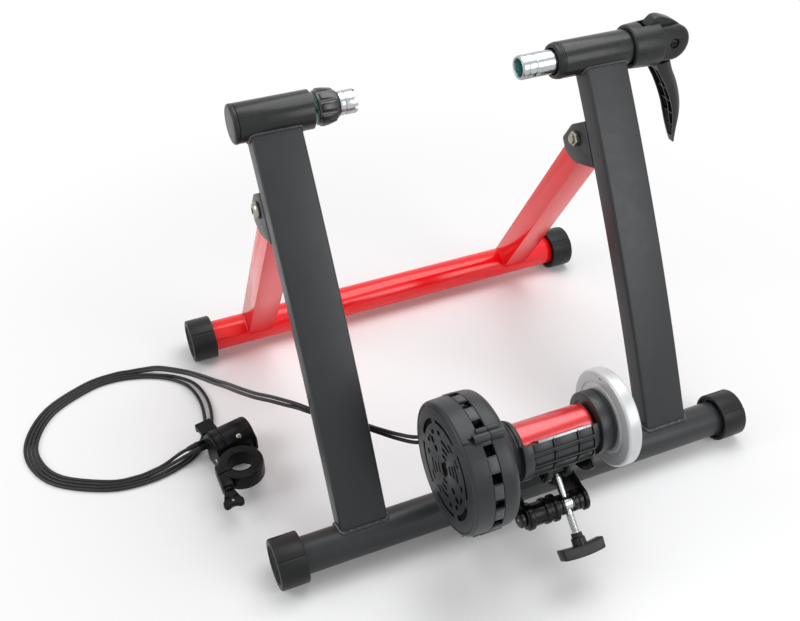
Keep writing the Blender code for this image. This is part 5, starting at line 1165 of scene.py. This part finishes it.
# The cable gland is a small block of black nylon screwed to the back of the drum. Its inner side is
# hollowed to fit the drum's rim, and its left end has a nozzle for each cable.

GLAND = Vector((-0.1060, 0.1100))
out_way = GLAND - UNIT
gland = block((0.0160, 0.0260, 0.0170), (-0.0760, GLAND.x - 0.0060, GLAND.y + 0.0026), 0.0014,
              math.degrees(math.atan2(out_way.y, out_way.x)))
gland = combined(gland, [cylinder(-0.1200, -0.0300, DRUM_R + 0.0003, UNIT, 128)])
nozzles = [turned([(-0.0980, 0.0030), (-0.0930, 0.0034), (-0.0925, 0.0031), (-0.0900, 0.0031),
                   (-0.0895, 0.0034), (-0.0830, 0.0034)], 0.0003, (GLAND.x, GLAND.y + shift), 28)
           for shift in (0.0040, -0.0040)]
show("cable_gland_block", combined(gland, nozzles, "UNION"), moulded_black, "unit", ["cable_gland"],
     angle=36.0)


# The cradle is a black nylon trough that carries the roller between two bearings, stiffened by ribs. Arms
# under it reach to the swing pin and to the swivel of the tension screw.

cradle_black = finish("cradle_nylon", (0.022, 0.024, 0.026), (0.030, 0.032, 0.034), 0.36, 0.05, 0.0008,
                      0.00005, patch_size=0.03, shine=0.38)


def sector(radius, proud=0.0):
    """The trough's half round section, from its front upper edge round below to its rear edge."""
    spare = math.degrees(math.asin(proud / radius))
    return arc(UNIT, radius, 135.0 - spare, 315.0 + spare, 40)


def arm(end, top, end_r, top_r):
    """The outline of an arm: two round ends joined by their tangents."""
    along = Vector(top) - Vector(end)
    lean = math.degrees(math.asin((end_r - top_r) / along.length))
    base = math.degrees(math.atan2(along.y, along.x))
    return (arc(top, top_r, base - 90.0 + lean, base + 90.0 - lean, 16)
            + arc(end, end_r, base + 90.0 - lean, base + 270.0 + lean, 16))


def below(angle, reach):
    """A (y, z) point beside the unit's axis."""
    return UNIT + Vector((math.cos(math.radians(angle)), math.sin(math.radians(angle)))) * reach


LEFT = NECK + 0.0003
RIB_HALF = 0.0006
ARM_HALF = 0.0030
parts = [turned([(LEFT, NECK_R), (LEFT + 0.0030, NECK_R), (-0.0440, 0.0248)], 0.0006, UNIT, 128),
         turned([(0.0345, 0.0310, 0.0012), (0.0462, 0.0310, 0.0003), (0.0464, 0.0298, 0.0002),
                 (0.0474, 0.0298, 0.0002), (0.0476, 0.0310, 0.0003), (0.0495, 0.0310, 0.0008)], 0.0006,
                UNIT, 128),
         plate([sector(0.0334, 0.0006)], LEFT + 0.0004, -0.0388, 0.0012)]
# panels between the ribs, with narrow gaps beside each rib
for low, high in ((-0.0382, -0.0179), (-0.0161, 0.0076), (0.0094, 0.0241)):
    panel = arc(UNIT, 0.0316, 136.0, 206.0, 24) + arc(UNIT, 0.0240, 206.0, 136.0, 24)
    parts.append(plate([panel], low + 0.0004, high - 0.0004, 0.0006))
for middle in (-0.0395, -0.0170, 0.0085, 0.0250):
    parts.append(plate([sector(0.0327, 0.0003)], middle - RIB_HALF, middle + RIB_HALF, 0.0002))
for bend in (152.0, 176.0, 200.0):
    ledge = block((0.0640, 0.0030, 0.0014), (-0.0075, UNIT.x + 0.0322, UNIT.y), 0.0003)
    parts.append(round_unit(ledge, bend))
for outline, middles in ((arm(SWING, below(262.0, 0.0230), 0.0110, 0.0100), (-0.0388, 0.0123)),
                         (arm(SWIVEL, below(258.0, 0.0240), 0.0112, 0.0130), (-0.0110, 0.0110))):
    parts += [plate([outline], middle - ARM_HALF, middle + ARM_HALF, 0.0007) for middle in middles]
cradle = combined(plate([sector(NECK_R)], LEFT + 0.0010, 0.0365, 0.0006), parts, "UNION")
tools = [round_unit(block((0.0655, 0.0070, 0.0034), (-0.0070, UNIT.x + 0.0335, UNIT.y), 0.0004), bend)
         for bend in (157.5, 182.0)]
# room for the roller, the shaft, the right bearing, the swing pin and the swivel
tools += [cylinder(-0.0452, 0.0353, 0.0236, UNIT, 96), cylinder(-0.1000, 0.1000, 0.0080, UNIT, 40),
          cylinder(0.0395, 0.0600, 0.0113, UNIT, 48), cylinder(-0.1000, 0.1000, PIN_BORE, SWING, 32),
          cylinder(-0.0156, 0.0156, 0.0082, SWIVEL, 40)]
show("roller_trough", combined(cradle, tools), cradle_black, "unit", ["roller_cradle"], angle=34.0)
ring_low, ring_high = LEFT + 0.0007, LEFT + 0.0015
show("trough_collar", spun([(ring_low, NECK_R + 0.0001), (ring_low, NECK_R + 0.0007),
                            (ring_high, NECK_R + 0.0007), (ring_high, NECK_R + 0.0001)], 0.0003, UNIT, 128),
     bush_look, "unit")
web = arc(UNIT, 0.0425, 204.0, 262.0, 20) + arc(UNIT, 0.0300, 266.0, 196.0, 24)
show("trough_web", plate([web], 0.0212, 0.0240, 0.0007), bracket_coat, "unit")


# A strip of grey aluminium lies along the trough's front edge and guards it. Two steel ball bearings carry
# the roller's shaft, one in the drum's neck and one in the trough's right end.

strip_grey = finish("strip_aluminium", (0.30, 0.32, 0.33), (0.24, 0.26, 0.27), 0.34, 0.06, 0.0006,
                    0.00002, patch_size=0.006, metallic=1.0)
strip = block((0.0560, 0.0072, 0.0027), (-0.0045, UNIT.x - 0.0203, UNIT.y + 0.0206), 0.0003, 135.0)
show("edge_strip", strip, strip_grey, "unit", ["guard_strip"])
for word, low in (("left", -0.0562), ("right", 0.0410)):
    race = spun([(low, 0.0064), (low, 0.0080, 0.0002), (low + 0.0007, 0.0082, 0.0002),
                 (low + 0.0007, 0.0094, 0.0002), (low, 0.0096, 0.0002), (low, 0.0110),
                 (low + 0.0055, 0.0110), (low + 0.0055, 0.0096, 0.0002), (low + 0.0048, 0.0094, 0.0002),
                 (low + 0.0048, 0.0082, 0.0002), (low + 0.0055, 0.0080, 0.0002), (low + 0.0055, 0.0064)],
                0.0003, UNIT, 64)
    show(word + "_ball_bearing", race, bright_steel, "unit", [word + "_bearing"])


# The roller is a turned aluminium drum, anodised red. Its steel shaft carries a heavy painted flywheel
# with a nut at the right, and the aluminium brake disc inside the drum.

anodised = finish("red_anodised", (0.66, 0.014, 0.020), (0.60, 0.010, 0.014), 0.27, 0.02, 0.0007,
                  0.000002, patch_size=0.03, metallic=0.50, coat=0.50, shine=1.0)
wheel_paint = finish("flywheel_paint", (0.60, 0.62, 0.63), (0.65, 0.67, 0.68), 0.34, 0.05, 0.0009,
                     0.00003, patch_size=0.02, metallic=0.20)
aluminium = finish("rolled_aluminium", (0.66, 0.70, 0.71), (0.56, 0.60, 0.61), 0.22, 0.06, 0.0006,
                   0.00002, patch_size=0.006, metallic=1.0)
SHAFT_BORE = 0.0063
show("red_roller", spun([(-0.0470, SHAFT_BORE), (-0.0470, 0.0198, 0.0003), (-0.0455, 0.0213, 0.0004),
                         (0.0313, 0.0213, 0.0004), (0.0335, 0.0191, 0.0003), (0.0335, SHAFT_BORE)],
                        0.0004, UNIT, 128), anodised, "roller_set", ["roller"], angle=24.0)
show("through_shaft", turned([(-0.1080, 0.0060), (0.0745, 0.0060, 0.0010)], 0.0008, UNIT, 40),
     bright_steel, "roller_set", ["roller_shaft"])
WHEEL_R = 0.0490
wheel = spun([(0.0660, SHAFT_BORE), (0.0660, 0.0145, 0.0008), (0.0635, 0.0152, 0.0008),
              (0.0635, 0.0408, 0.0012), (0.0660, 0.0418, 0.0008), (0.0660, WHEEL_R - 0.0018),
              (0.0642, WHEEL_R), (0.0532, WHEEL_R), (0.0514, WHEEL_R - 0.0018), (0.0514, 0.0380, 0.0003),
              (0.0518, 0.0376, 0.0003), (0.0518, 0.0345, 0.0003), (0.0514, 0.0341, 0.0003),
              (0.0514, SHAFT_BORE)], 0.0007, UNIT, 192)
balance_hole = cylinder(0.0480, 0.0532, 0.0016, (UNIT.x + 0.0435, UNIT.y), 20)
show("steel_flywheel", combined(wheel, [ring_of(balance_hole, 1, 75.0, wheel_paint)]), wheel_paint,
     "roller_set", ["flywheel"], angle=26.0)
show("flywheel_hex_nut", spun([(0.0663, SHAFT_BORE), (0.0663, 0.0090), (0.0670, 0.0095),
                               (0.0716, 0.0095), (0.0723, 0.0090), (0.0723, SHAFT_BORE)], 0.0004, UNIT, 6),
     plated, "roller_set", ["flywheel_nut"], angle=20.0)
show("turned_brake_disc", spun([(-0.0815, SHAFT_BORE), (-0.0815, 0.0520), (-0.0785, 0.0520),
                                (-0.0785, SHAFT_BORE)], 0.0004, UNIT, 128),
     aluminium, "roller_set", ["brake_disc"])


# Twelve disc magnets sit in a ring on a steel plate beside the brake disc. The cables turn this plate on
# the drum's hub, which sets how hard the disc is braked.

magnet_steel = finish("magnet_plate_steel", (0.20, 0.20, 0.21), (0.26, 0.26, 0.27), 0.38, 0.08, 0.0009,
                      0.00003, patch_size=0.02, metallic=1.0)
carrier = spun([(-0.1000, 0.0096), (-0.1000, 0.0500), (-0.0955, 0.0500), (-0.0955, 0.0096)], 0.0006,
               UNIT, 128)
magnet = turned([(-0.0958, 0.0075), (-0.0920, 0.0075)], 0.0005, (UNIT.x + 0.0370, UNIT.y), 32)
show("magnet_carrier", gathered([carrier, ring_of(magnet, 12, 0.0, magnet_steel)]), magnet_steel,
     "magnets", ["magnet_plate"])


# The tension screw presses the roller on the tyre: a steel rod, held in a swivel under the cradle, runs
# through the cross pin and ends in a black moulded T-handle.

# heights along the rod are measured from the swivel, down to the cross pin and the handle's top
ROD_LONG = (SWIVEL - CROSS).length
KNOB_TOP = -ROD_LONG - 0.0292
ROD_R = 0.0037
SWIVEL_AT = (0.0, *SWIVEL)
rod_steel = finish("rod_steel", (0.52, 0.54, 0.52), (0.44, 0.46, 0.44), 0.24, 0.06, 0.0006, 0.00001,
                   patch_size=0.006, metallic=1.0)
swivel = turned([(-0.0150, 0.0078), (0.0150, 0.0078)], 0.0007, SWIVEL, 48)
rod_bore = stood(cylinder(-0.0200, 0.0200, 0.0051, steps=32), SWIVEL_AT, rod_lean)
show("screw_swivel", combined(swivel, [rod_bore]), bush_look, "swivel", ["rod_swivel"])
grooves = []
for i in range(26):
    at = KNOB_TOP + 0.0006 + THREAD_PITCH * i
    grooves += [(at, ROD_R), (at + 0.0005, ROD_R), (at + 0.0008, ROD_R - 0.0003)]
rod = (rounded([(KNOB_TOP - 0.0098, 0.0, 0.0), (KNOB_TOP - 0.0098, 0.0036)], 0.0002)
       + [Vector(spot) for spot in grooves if spot[0] < -ROD_LONG - 0.0110]
       + rounded([(-ROD_LONG - 0.0105, ROD_R, 0.0), (-0.0092, ROD_R), (-0.0084, 0.0035, 0.0),
                  (0.0088, 0.0035, 0.0), (0.0088, 0.0062), (0.0113, 0.0058), (0.0113, 0.0, 0.0)], 0.0003))
show("screw_rod", stood(lathe(rod, steps=56), SWIVEL_AT, rod_lean), rod_steel, "screw", ["tension_rod"],
     angle=28.0)

handle_black = finish("handle_nylon", (0.009, 0.010, 0.011), (0.014, 0.015, 0.017), 0.34, 0.05, 0.0007,
                      0.00003, patch_size=0.02, shine=0.26)
bar_mid = KNOB_TOP - 0.0178


def bar_edge(long, rise):
    """One long edge of the handle's bar, which curves up towards both ends."""
    return [(long * (i / 16 - 0.5), bar_mid + rise + 0.0016 * (2 * i / 16 - 1) ** 2) for i in range(17)]


bar = plate([bar_edge(0.0444, -0.0054) + bar_edge(0.0460, 0.0058)[::-1]], -0.0078, 0.0078, 0.0014,
            "front", 3)
for vert in bar.vertices:
    # the bar gets thinner towards its ends
    vert.co.y *= 1.0 - 0.14 * max(0.0, abs(vert.co.x) / 0.0230 - 0.68) / 0.32
hub = stood(turned([(KNOB_TOP - 0.0150, 0.0074), (KNOB_TOP - 0.0050, 0.0070),
                    (KNOB_TOP - 0.0042, 0.0056, 0.0004), (KNOB_TOP, 0.0054)], 0.0008, steps=64))
flute = stood(turned([(KNOB_TOP - 0.0120, 0.0017), (KNOB_TOP - 0.0030, 0.0017)], 0.0003, steps=16),
              (0.0081, 0.0, 0.0))
flutes = [placed(flute.copy(), turn=360.0 * (i + 0.5) / 8, axis="Z") for i in range(8)]
socket = stood(cylinder(KNOB_TOP - 0.0105, KNOB_TOP + 0.0100, 0.0038, steps=32))
handle = combined(combined(hub, [bar], "UNION"), [*flutes, socket])
handle.transform(Matrix.Translation(SWIVEL_AT) @ rod_lean)
show("t_handle", handle, handle_black, "screw", ["tension_knob"], angle=30.0)


# The handlebar remote lies on the floor at the left, all in black nylon. A barrel with a proud end plate
# holds the selector ring; a split clamp with a rubber liner and a thumbscrew goes round the handlebar.

REMOTE = Vector((-0.2640, 0.0530, 0.0250))
REMOTE_TURN = 13.0
CLAMP = Vector((-0.2655, 0.0040, 0.0300))
remote_black = finish("remote_nylon", (0.003, 0.0032, 0.0035), (0.006, 0.0064, 0.0068), 0.30, 0.06,
                      0.0007, 0.00005, patch_size=0.015, shine=0.14)


def in_remote(shape):
    """Moves a shape made along the remote's own barrel to its place on the floor."""
    return placed(shape, REMOTE, REMOTE_TURN, "Z")


half = 0.0245
BARREL_R = 0.0185
# the selector ring's ends along the barrel, and its room
ring_from, ring_to = -half + 0.0030, -half + 0.0120
room_from, room_to = ring_from - 0.0004, ring_to + 0.0004
barrel = turned([(half - 0.0020, 0.0176, 0.0020), (half - 0.0050, BARREL_R, 0.0010),
                 (room_to, BARREL_R, 0.0006), (room_to, 0.0145, 0.0002), (room_from, 0.0145, 0.0002),
                 (room_from, 0.0177, 0.0004), (-half, 0.0173, 0.0012)], 0.0005, steps=96)
end_plate = plate([rounded([(0.0080, 0.0150), (-0.0070, 0.0176), (-0.0215, 0.0075), (-0.0225, -0.0080),
                            (-0.0150, -0.0185), (0.0100, -0.0185), (0.0186, -0.0080), (0.0186, 0.0040)],
                           0.0020)], half - 0.0052, half - 0.0028, 0.0005)
stand = plate([rounded([(-0.0125, -0.0120), (-0.0085, -0.0247), (0.0085, -0.0247), (0.0125, -0.0120)],
                       0.0015)], -half + 0.0002, -half + 0.0024, 0.0005)


def clear_of_ring(shape):
    """Cuts the room for the selector ring out of a piece."""
    return combined(shape, [in_remote(cylinder(room_from, room_to, 0.0209, steps=96))])


ring = stood(turned([(-0.0090, 0.0248, 0.0018), (0.0090, 0.0240, 0.0018)], 0.0006, steps=96), CLAMP)
neck_y = (CLAMP.y + 0.0250 + REMOTE.y - BARREL_R) / 2
neck = block((0.0260, 0.0240, 0.0080), (CLAMP.x + 0.0070, neck_y, CLAMP.z - 0.0095), 0.0016)
EARS_X, EARS_FRONT = -0.2870, -0.0220
ears = block((0.0130, 0.0330, 0.0150), (EARS_X, EARS_FRONT + 0.0165, CLAMP.z), 0.0024)
port = block((0.0210, 0.0230, 0.0125), (-0.2790, 0.0630, 0.0166), 0.0012)
port_way, port_side = Vector((0.97, 0.16, 0.0)).normalized(), Vector((-0.16, 0.97, 0.0)).normalized()
nozzles = []
for shift in (-0.0038, 0.0038):
    mouth = Vector((-0.2980, 0.0661, 0.0150)) + port_side * shift
    nozzles.append(tube([mouth + port_way * 0.016 * k / 4 for k in range(5)], 0.0033, 24))
body = combined(in_remote(barrel), [in_remote(end_plate), in_remote(stand)]
                + [clear_of_ring(shape) for shape in (neck, ring, port)] + [ears], "UNION")
hole = stood(cylinder(-0.0300, 0.0300, 0.0150, steps=96), CLAMP)
slit = block((0.0300, 0.0014, 0.0400), (CLAMP.x - 0.0260, CLAMP.y - 0.0080, CLAMP.z))
screw_room = placed(cylinder(-0.0215, 0.0215, 0.0029, steps=24), (EARS_X, -0.0030, CLAMP.z), 90.0, "Z")


def on_top(shape):
    """Puts a piece made round the origin where the barrel's top screw sits, leaning to the front."""
    return in_remote(placed(shape, (0.0041, -0.0131, 0.0135), 44.0))


collar = on_top(stood(turned([(-0.0040, 0.0050), (0.0004, 0.0046)], 0.0004, steps=32)))
seat = on_top(stood(cylinder(-0.0014, 0.0050, 0.0036, steps=32)))
body = combined(combined(body, [collar], "UNION"), [hole, slit, screw_room, seat])
show("remote_housing", combined(body, nozzles, "UNION"), remote_black, "frame", ["remote_body"], angle=34.0)


def cross_screw(radius, at=(0.0, 0.0, 0.0), turn=0.0):
    """A small domed screw head with a cross recess; turn is the angle in degrees about Y."""
    head = stood(spun([(-0.0016, 0.0, 0.0), (-0.0016, radius, 0.0), (0.0004, radius, 0.0004),
                       (0.0014, radius * 0.62, 0.0006), (0.0016, 0.0, 0.0)], 0.0005, steps=28))
    cross = [block((wide, deep, 0.0012), (0.0, 0.0, 0.0016))
             for wide, deep in ((radius * 1.1, 0.0007), (0.0007, radius * 1.1))]
    return placed(combined(head, cross), at, turn, "Y")


heads = [on_top(cross_screw(0.0031)),
         in_remote(cross_screw(0.0026, (-half - 0.0006, -0.0120, -0.0085), -90.0)),
         cross_screw(0.0024, (-0.2926, 0.0055, CLAMP.z), -90.0)]
show("remote_screws", gathered(heads), plated, "frame")

liner_rubber = finish("liner_rubber", (0.004, 0.004, 0.0045), (0.008, 0.008, 0.009), 0.50, 0.05, 0.0008,
                      0.00004, shine=0.12)
liner = stood(spun([(-0.0094, 0.0134, 0.0004), (-0.0094, 0.0147), (0.0094, 0.0147),
                    (0.0094, 0.0134, 0.0004)], 0.0003, steps=96), CLAMP)
show("handlebar_liner", liner, liner_rubber, "frame", ["clamp_liner"])


# The selector ring is a black nylon moulding of its own that turns round the barrel to pull the cables.
# Its tab is a curved thumb rest with a hollow below.

ring = spun([(ring_from, 0.0149), (ring_from, 0.0188), (ring_to, 0.0188), (ring_to, 0.0149)], 0.0005,
            steps=96)
tab_x = ring_from + 0.0050
tab = block((0.0190, 0.0200, 0.0060), (tab_x, 0.0240, 0.0080), 0.0012)
tab_lip = block((0.0190, 0.0040, 0.0100), (tab_x, 0.0320, 0.0060), 0.0010)
dish = block((0.0150, 0.0150, 0.0070), (tab_x, 0.0255, 0.0030), 0.0010)
rooms = [cylinder(low, low + 0.0300, 0.0189, steps=96) for low in (room_to, room_from - 0.0300)]
core = cylinder(-0.0300, 0.0300, 0.0149, steps=96)
thumb_rest = combined(combined(tab, [tab_lip], "UNION"), [*rooms, core, dish])
show("selector_ring", in_remote(gathered([ring, thumb_rest])), remote_black, "selector",
     ["remote_lever"], angle=34.0)


# The thumbscrew closes the clamp. It is a steel screw in a wing of black nylon with two lobes, held by a
# small plated rivet.

wing_line = rounded([(-0.0030, -0.0052), (-0.0150, -0.0090), (-0.0185, -0.0112), (-0.0235, -0.0104),
                     (-0.0248, -0.0062), (-0.0222, -0.0020), (-0.0222, 0.0020), (-0.0248, 0.0062),
                     (-0.0235, 0.0104), (-0.0185, 0.0112), (-0.0150, 0.0090), (-0.0030, 0.0052)],
                    0.0018, steps=4)
dimples = [cylinder(low, low + 0.0020, 0.0034, (-0.0150, side), 24)
           for low in (-0.0040, 0.0020) for side in (-0.0052, 0.0052)]
wing = placed(combined(plate([wing_line], -0.0033, 0.0033, 0.0012), dimples), turn=90.0, axis="Y")
stem = placed(turned([(0.0360, 0.0025), (-0.0003, 0.0025, 0.0), (-0.0003, 0.0058), (-0.0035, 0.0058),
                      (-0.0035, 0.0036, 0.0), (-0.0160, 0.0036)], 0.0005, steps=32), turn=90.0, axis="Z")
thumb = placed(combined(stem, [wing], "UNION"), (EARS_X, EARS_FRONT, CLAMP.z))
show("wing_thumbscrew", thumb, remote_black, "clamp_screw", ["thumbscrew"], angle=34.0)
show("thumbscrew_rivet", cross_screw(0.0018, (EARS_X, -0.0405, CLAMP.z + 0.0034)), plated, "clamp_screw")


# The floor is a pale smooth studio floor that runs out to white, in a white studio. A soft light from
# above does most of the work, with a smaller one from the left and one from the front right.

work = bmesh.new()
bmesh.ops.create_grid(work, x_segments=8, y_segments=8, size=6.0)
floor = bpy.data.objects.new("studio_floor", placed(to_mesh(work, False), (0.0, 0.0, -0.0003)))
scene.collection.objects.link(floor)


def seen_ray(tree):
    """1 for rays that show the studio straight, mirrored or through glass, and 0 for all others."""
    path = add(tree, "ShaderNodeLightPath").outputs
    seen = add(tree, "ShaderNodeMath", {0: path["Is Camera Ray"], 1: path["Is Glossy Ray"]},
               operation="MAXIMUM")
    return add(tree, "ShaderNodeMath", {0: seen.outputs[0], 1: path["Is Transmission Ray"]},
               operation="MAXIMUM").outputs[0]


# the floor stays itself within the first radius and is pure white beyond the second
FLOOR_MIDDLE = (-0.02, 0.06, 0.0)
FADE_FROM, FADE_TO = 0.20, 0.78
pale = bpy.data.materials.new("pale_floor")
pale.use_nodes = True
tree = pale.node_tree
shader = tree.nodes["Principled BSDF"]
skin = add(tree, "ShaderNodeGroup", node_tree=skin_group)
skin.inputs["Grain"].default_value = 0.004
skin.inputs["Patch"].default_value = 0.6
tone = add(tree, "ShaderNodeMix", {0: skin.outputs["Tone"], 6: (0.925, 0.930, 0.938, 1.0),
                                   7: (0.950, 0.955, 0.962, 1.0)}, data_type="RGBA")
tree.links.new(tone.outputs[2], shader.inputs["Base Color"])
shader.inputs["Roughness"].default_value = 0.30
shader.inputs["Specular IOR Level"].default_value = 0.35
spot = add(tree, "ShaderNodeTexCoord").outputs["Object"]
away = add(tree, "ShaderNodeVectorMath", {0: spot, 1: FLOOR_MIDDLE}, operation="DISTANCE")
edge = add(tree, "ShaderNodeMapRange", {0: away.outputs["Value"], 1: FADE_FROM, 2: FADE_TO},
           interpolation_type="SMOOTHSTEP")
share = add(tree, "ShaderNodeMath", {0: edge.outputs[0], 1: seen_ray(tree)}, operation="MULTIPLY")
white = add(tree, "ShaderNodeEmission", {"Color": (1.0, 1.0, 1.0, 1.0), "Strength": 1.0})
both = add(tree, "ShaderNodeMixShader", {0: share.outputs[0], 1: shader.outputs[0], 2: white.outputs[0]})
tree.links.new(both.outputs[0], tree.nodes["Material Output"].inputs["Surface"])
floor.data.materials.append(pale)

world = bpy.data.worlds.new("studio")
world.use_nodes = True
scene.world = world
tree = world.node_tree
level = add(tree, "ShaderNodeMapRange", {0: seen_ray(tree), 3: 0.36, 4: 1.0})
tree.nodes["Background"].inputs["Color"].default_value = (1.0, 1.0, 1.0, 1.0)
tree.links.new(level.outputs[0], tree.nodes["Background"].inputs["Strength"])


def lamp(name, at, aim, size, power):
    """A large square soft light that looks at a point."""
    light = bpy.data.lights.new(name, "AREA")
    light.size = size
    light.energy = power
    made = bpy.data.objects.new(name, light)
    made.location = at
    made.rotation_euler = (Vector(aim) - Vector(at)).to_track_quat("-Z", "Y").to_euler()
    scene.collection.objects.link(made)


lamp("top_light", (0.30, 0.20, 1.25), (0.0, 0.0, 0.1), 1.0, 10.0)
lamp("left_light", (-1.20, 0.15, 0.80), (-0.1, 0.0, 0.15), 0.7, 5.0)
lamp("right_light", (0.60, -1.00, 0.75), (0.1, -0.05, 0.25), 0.7, 5.0)
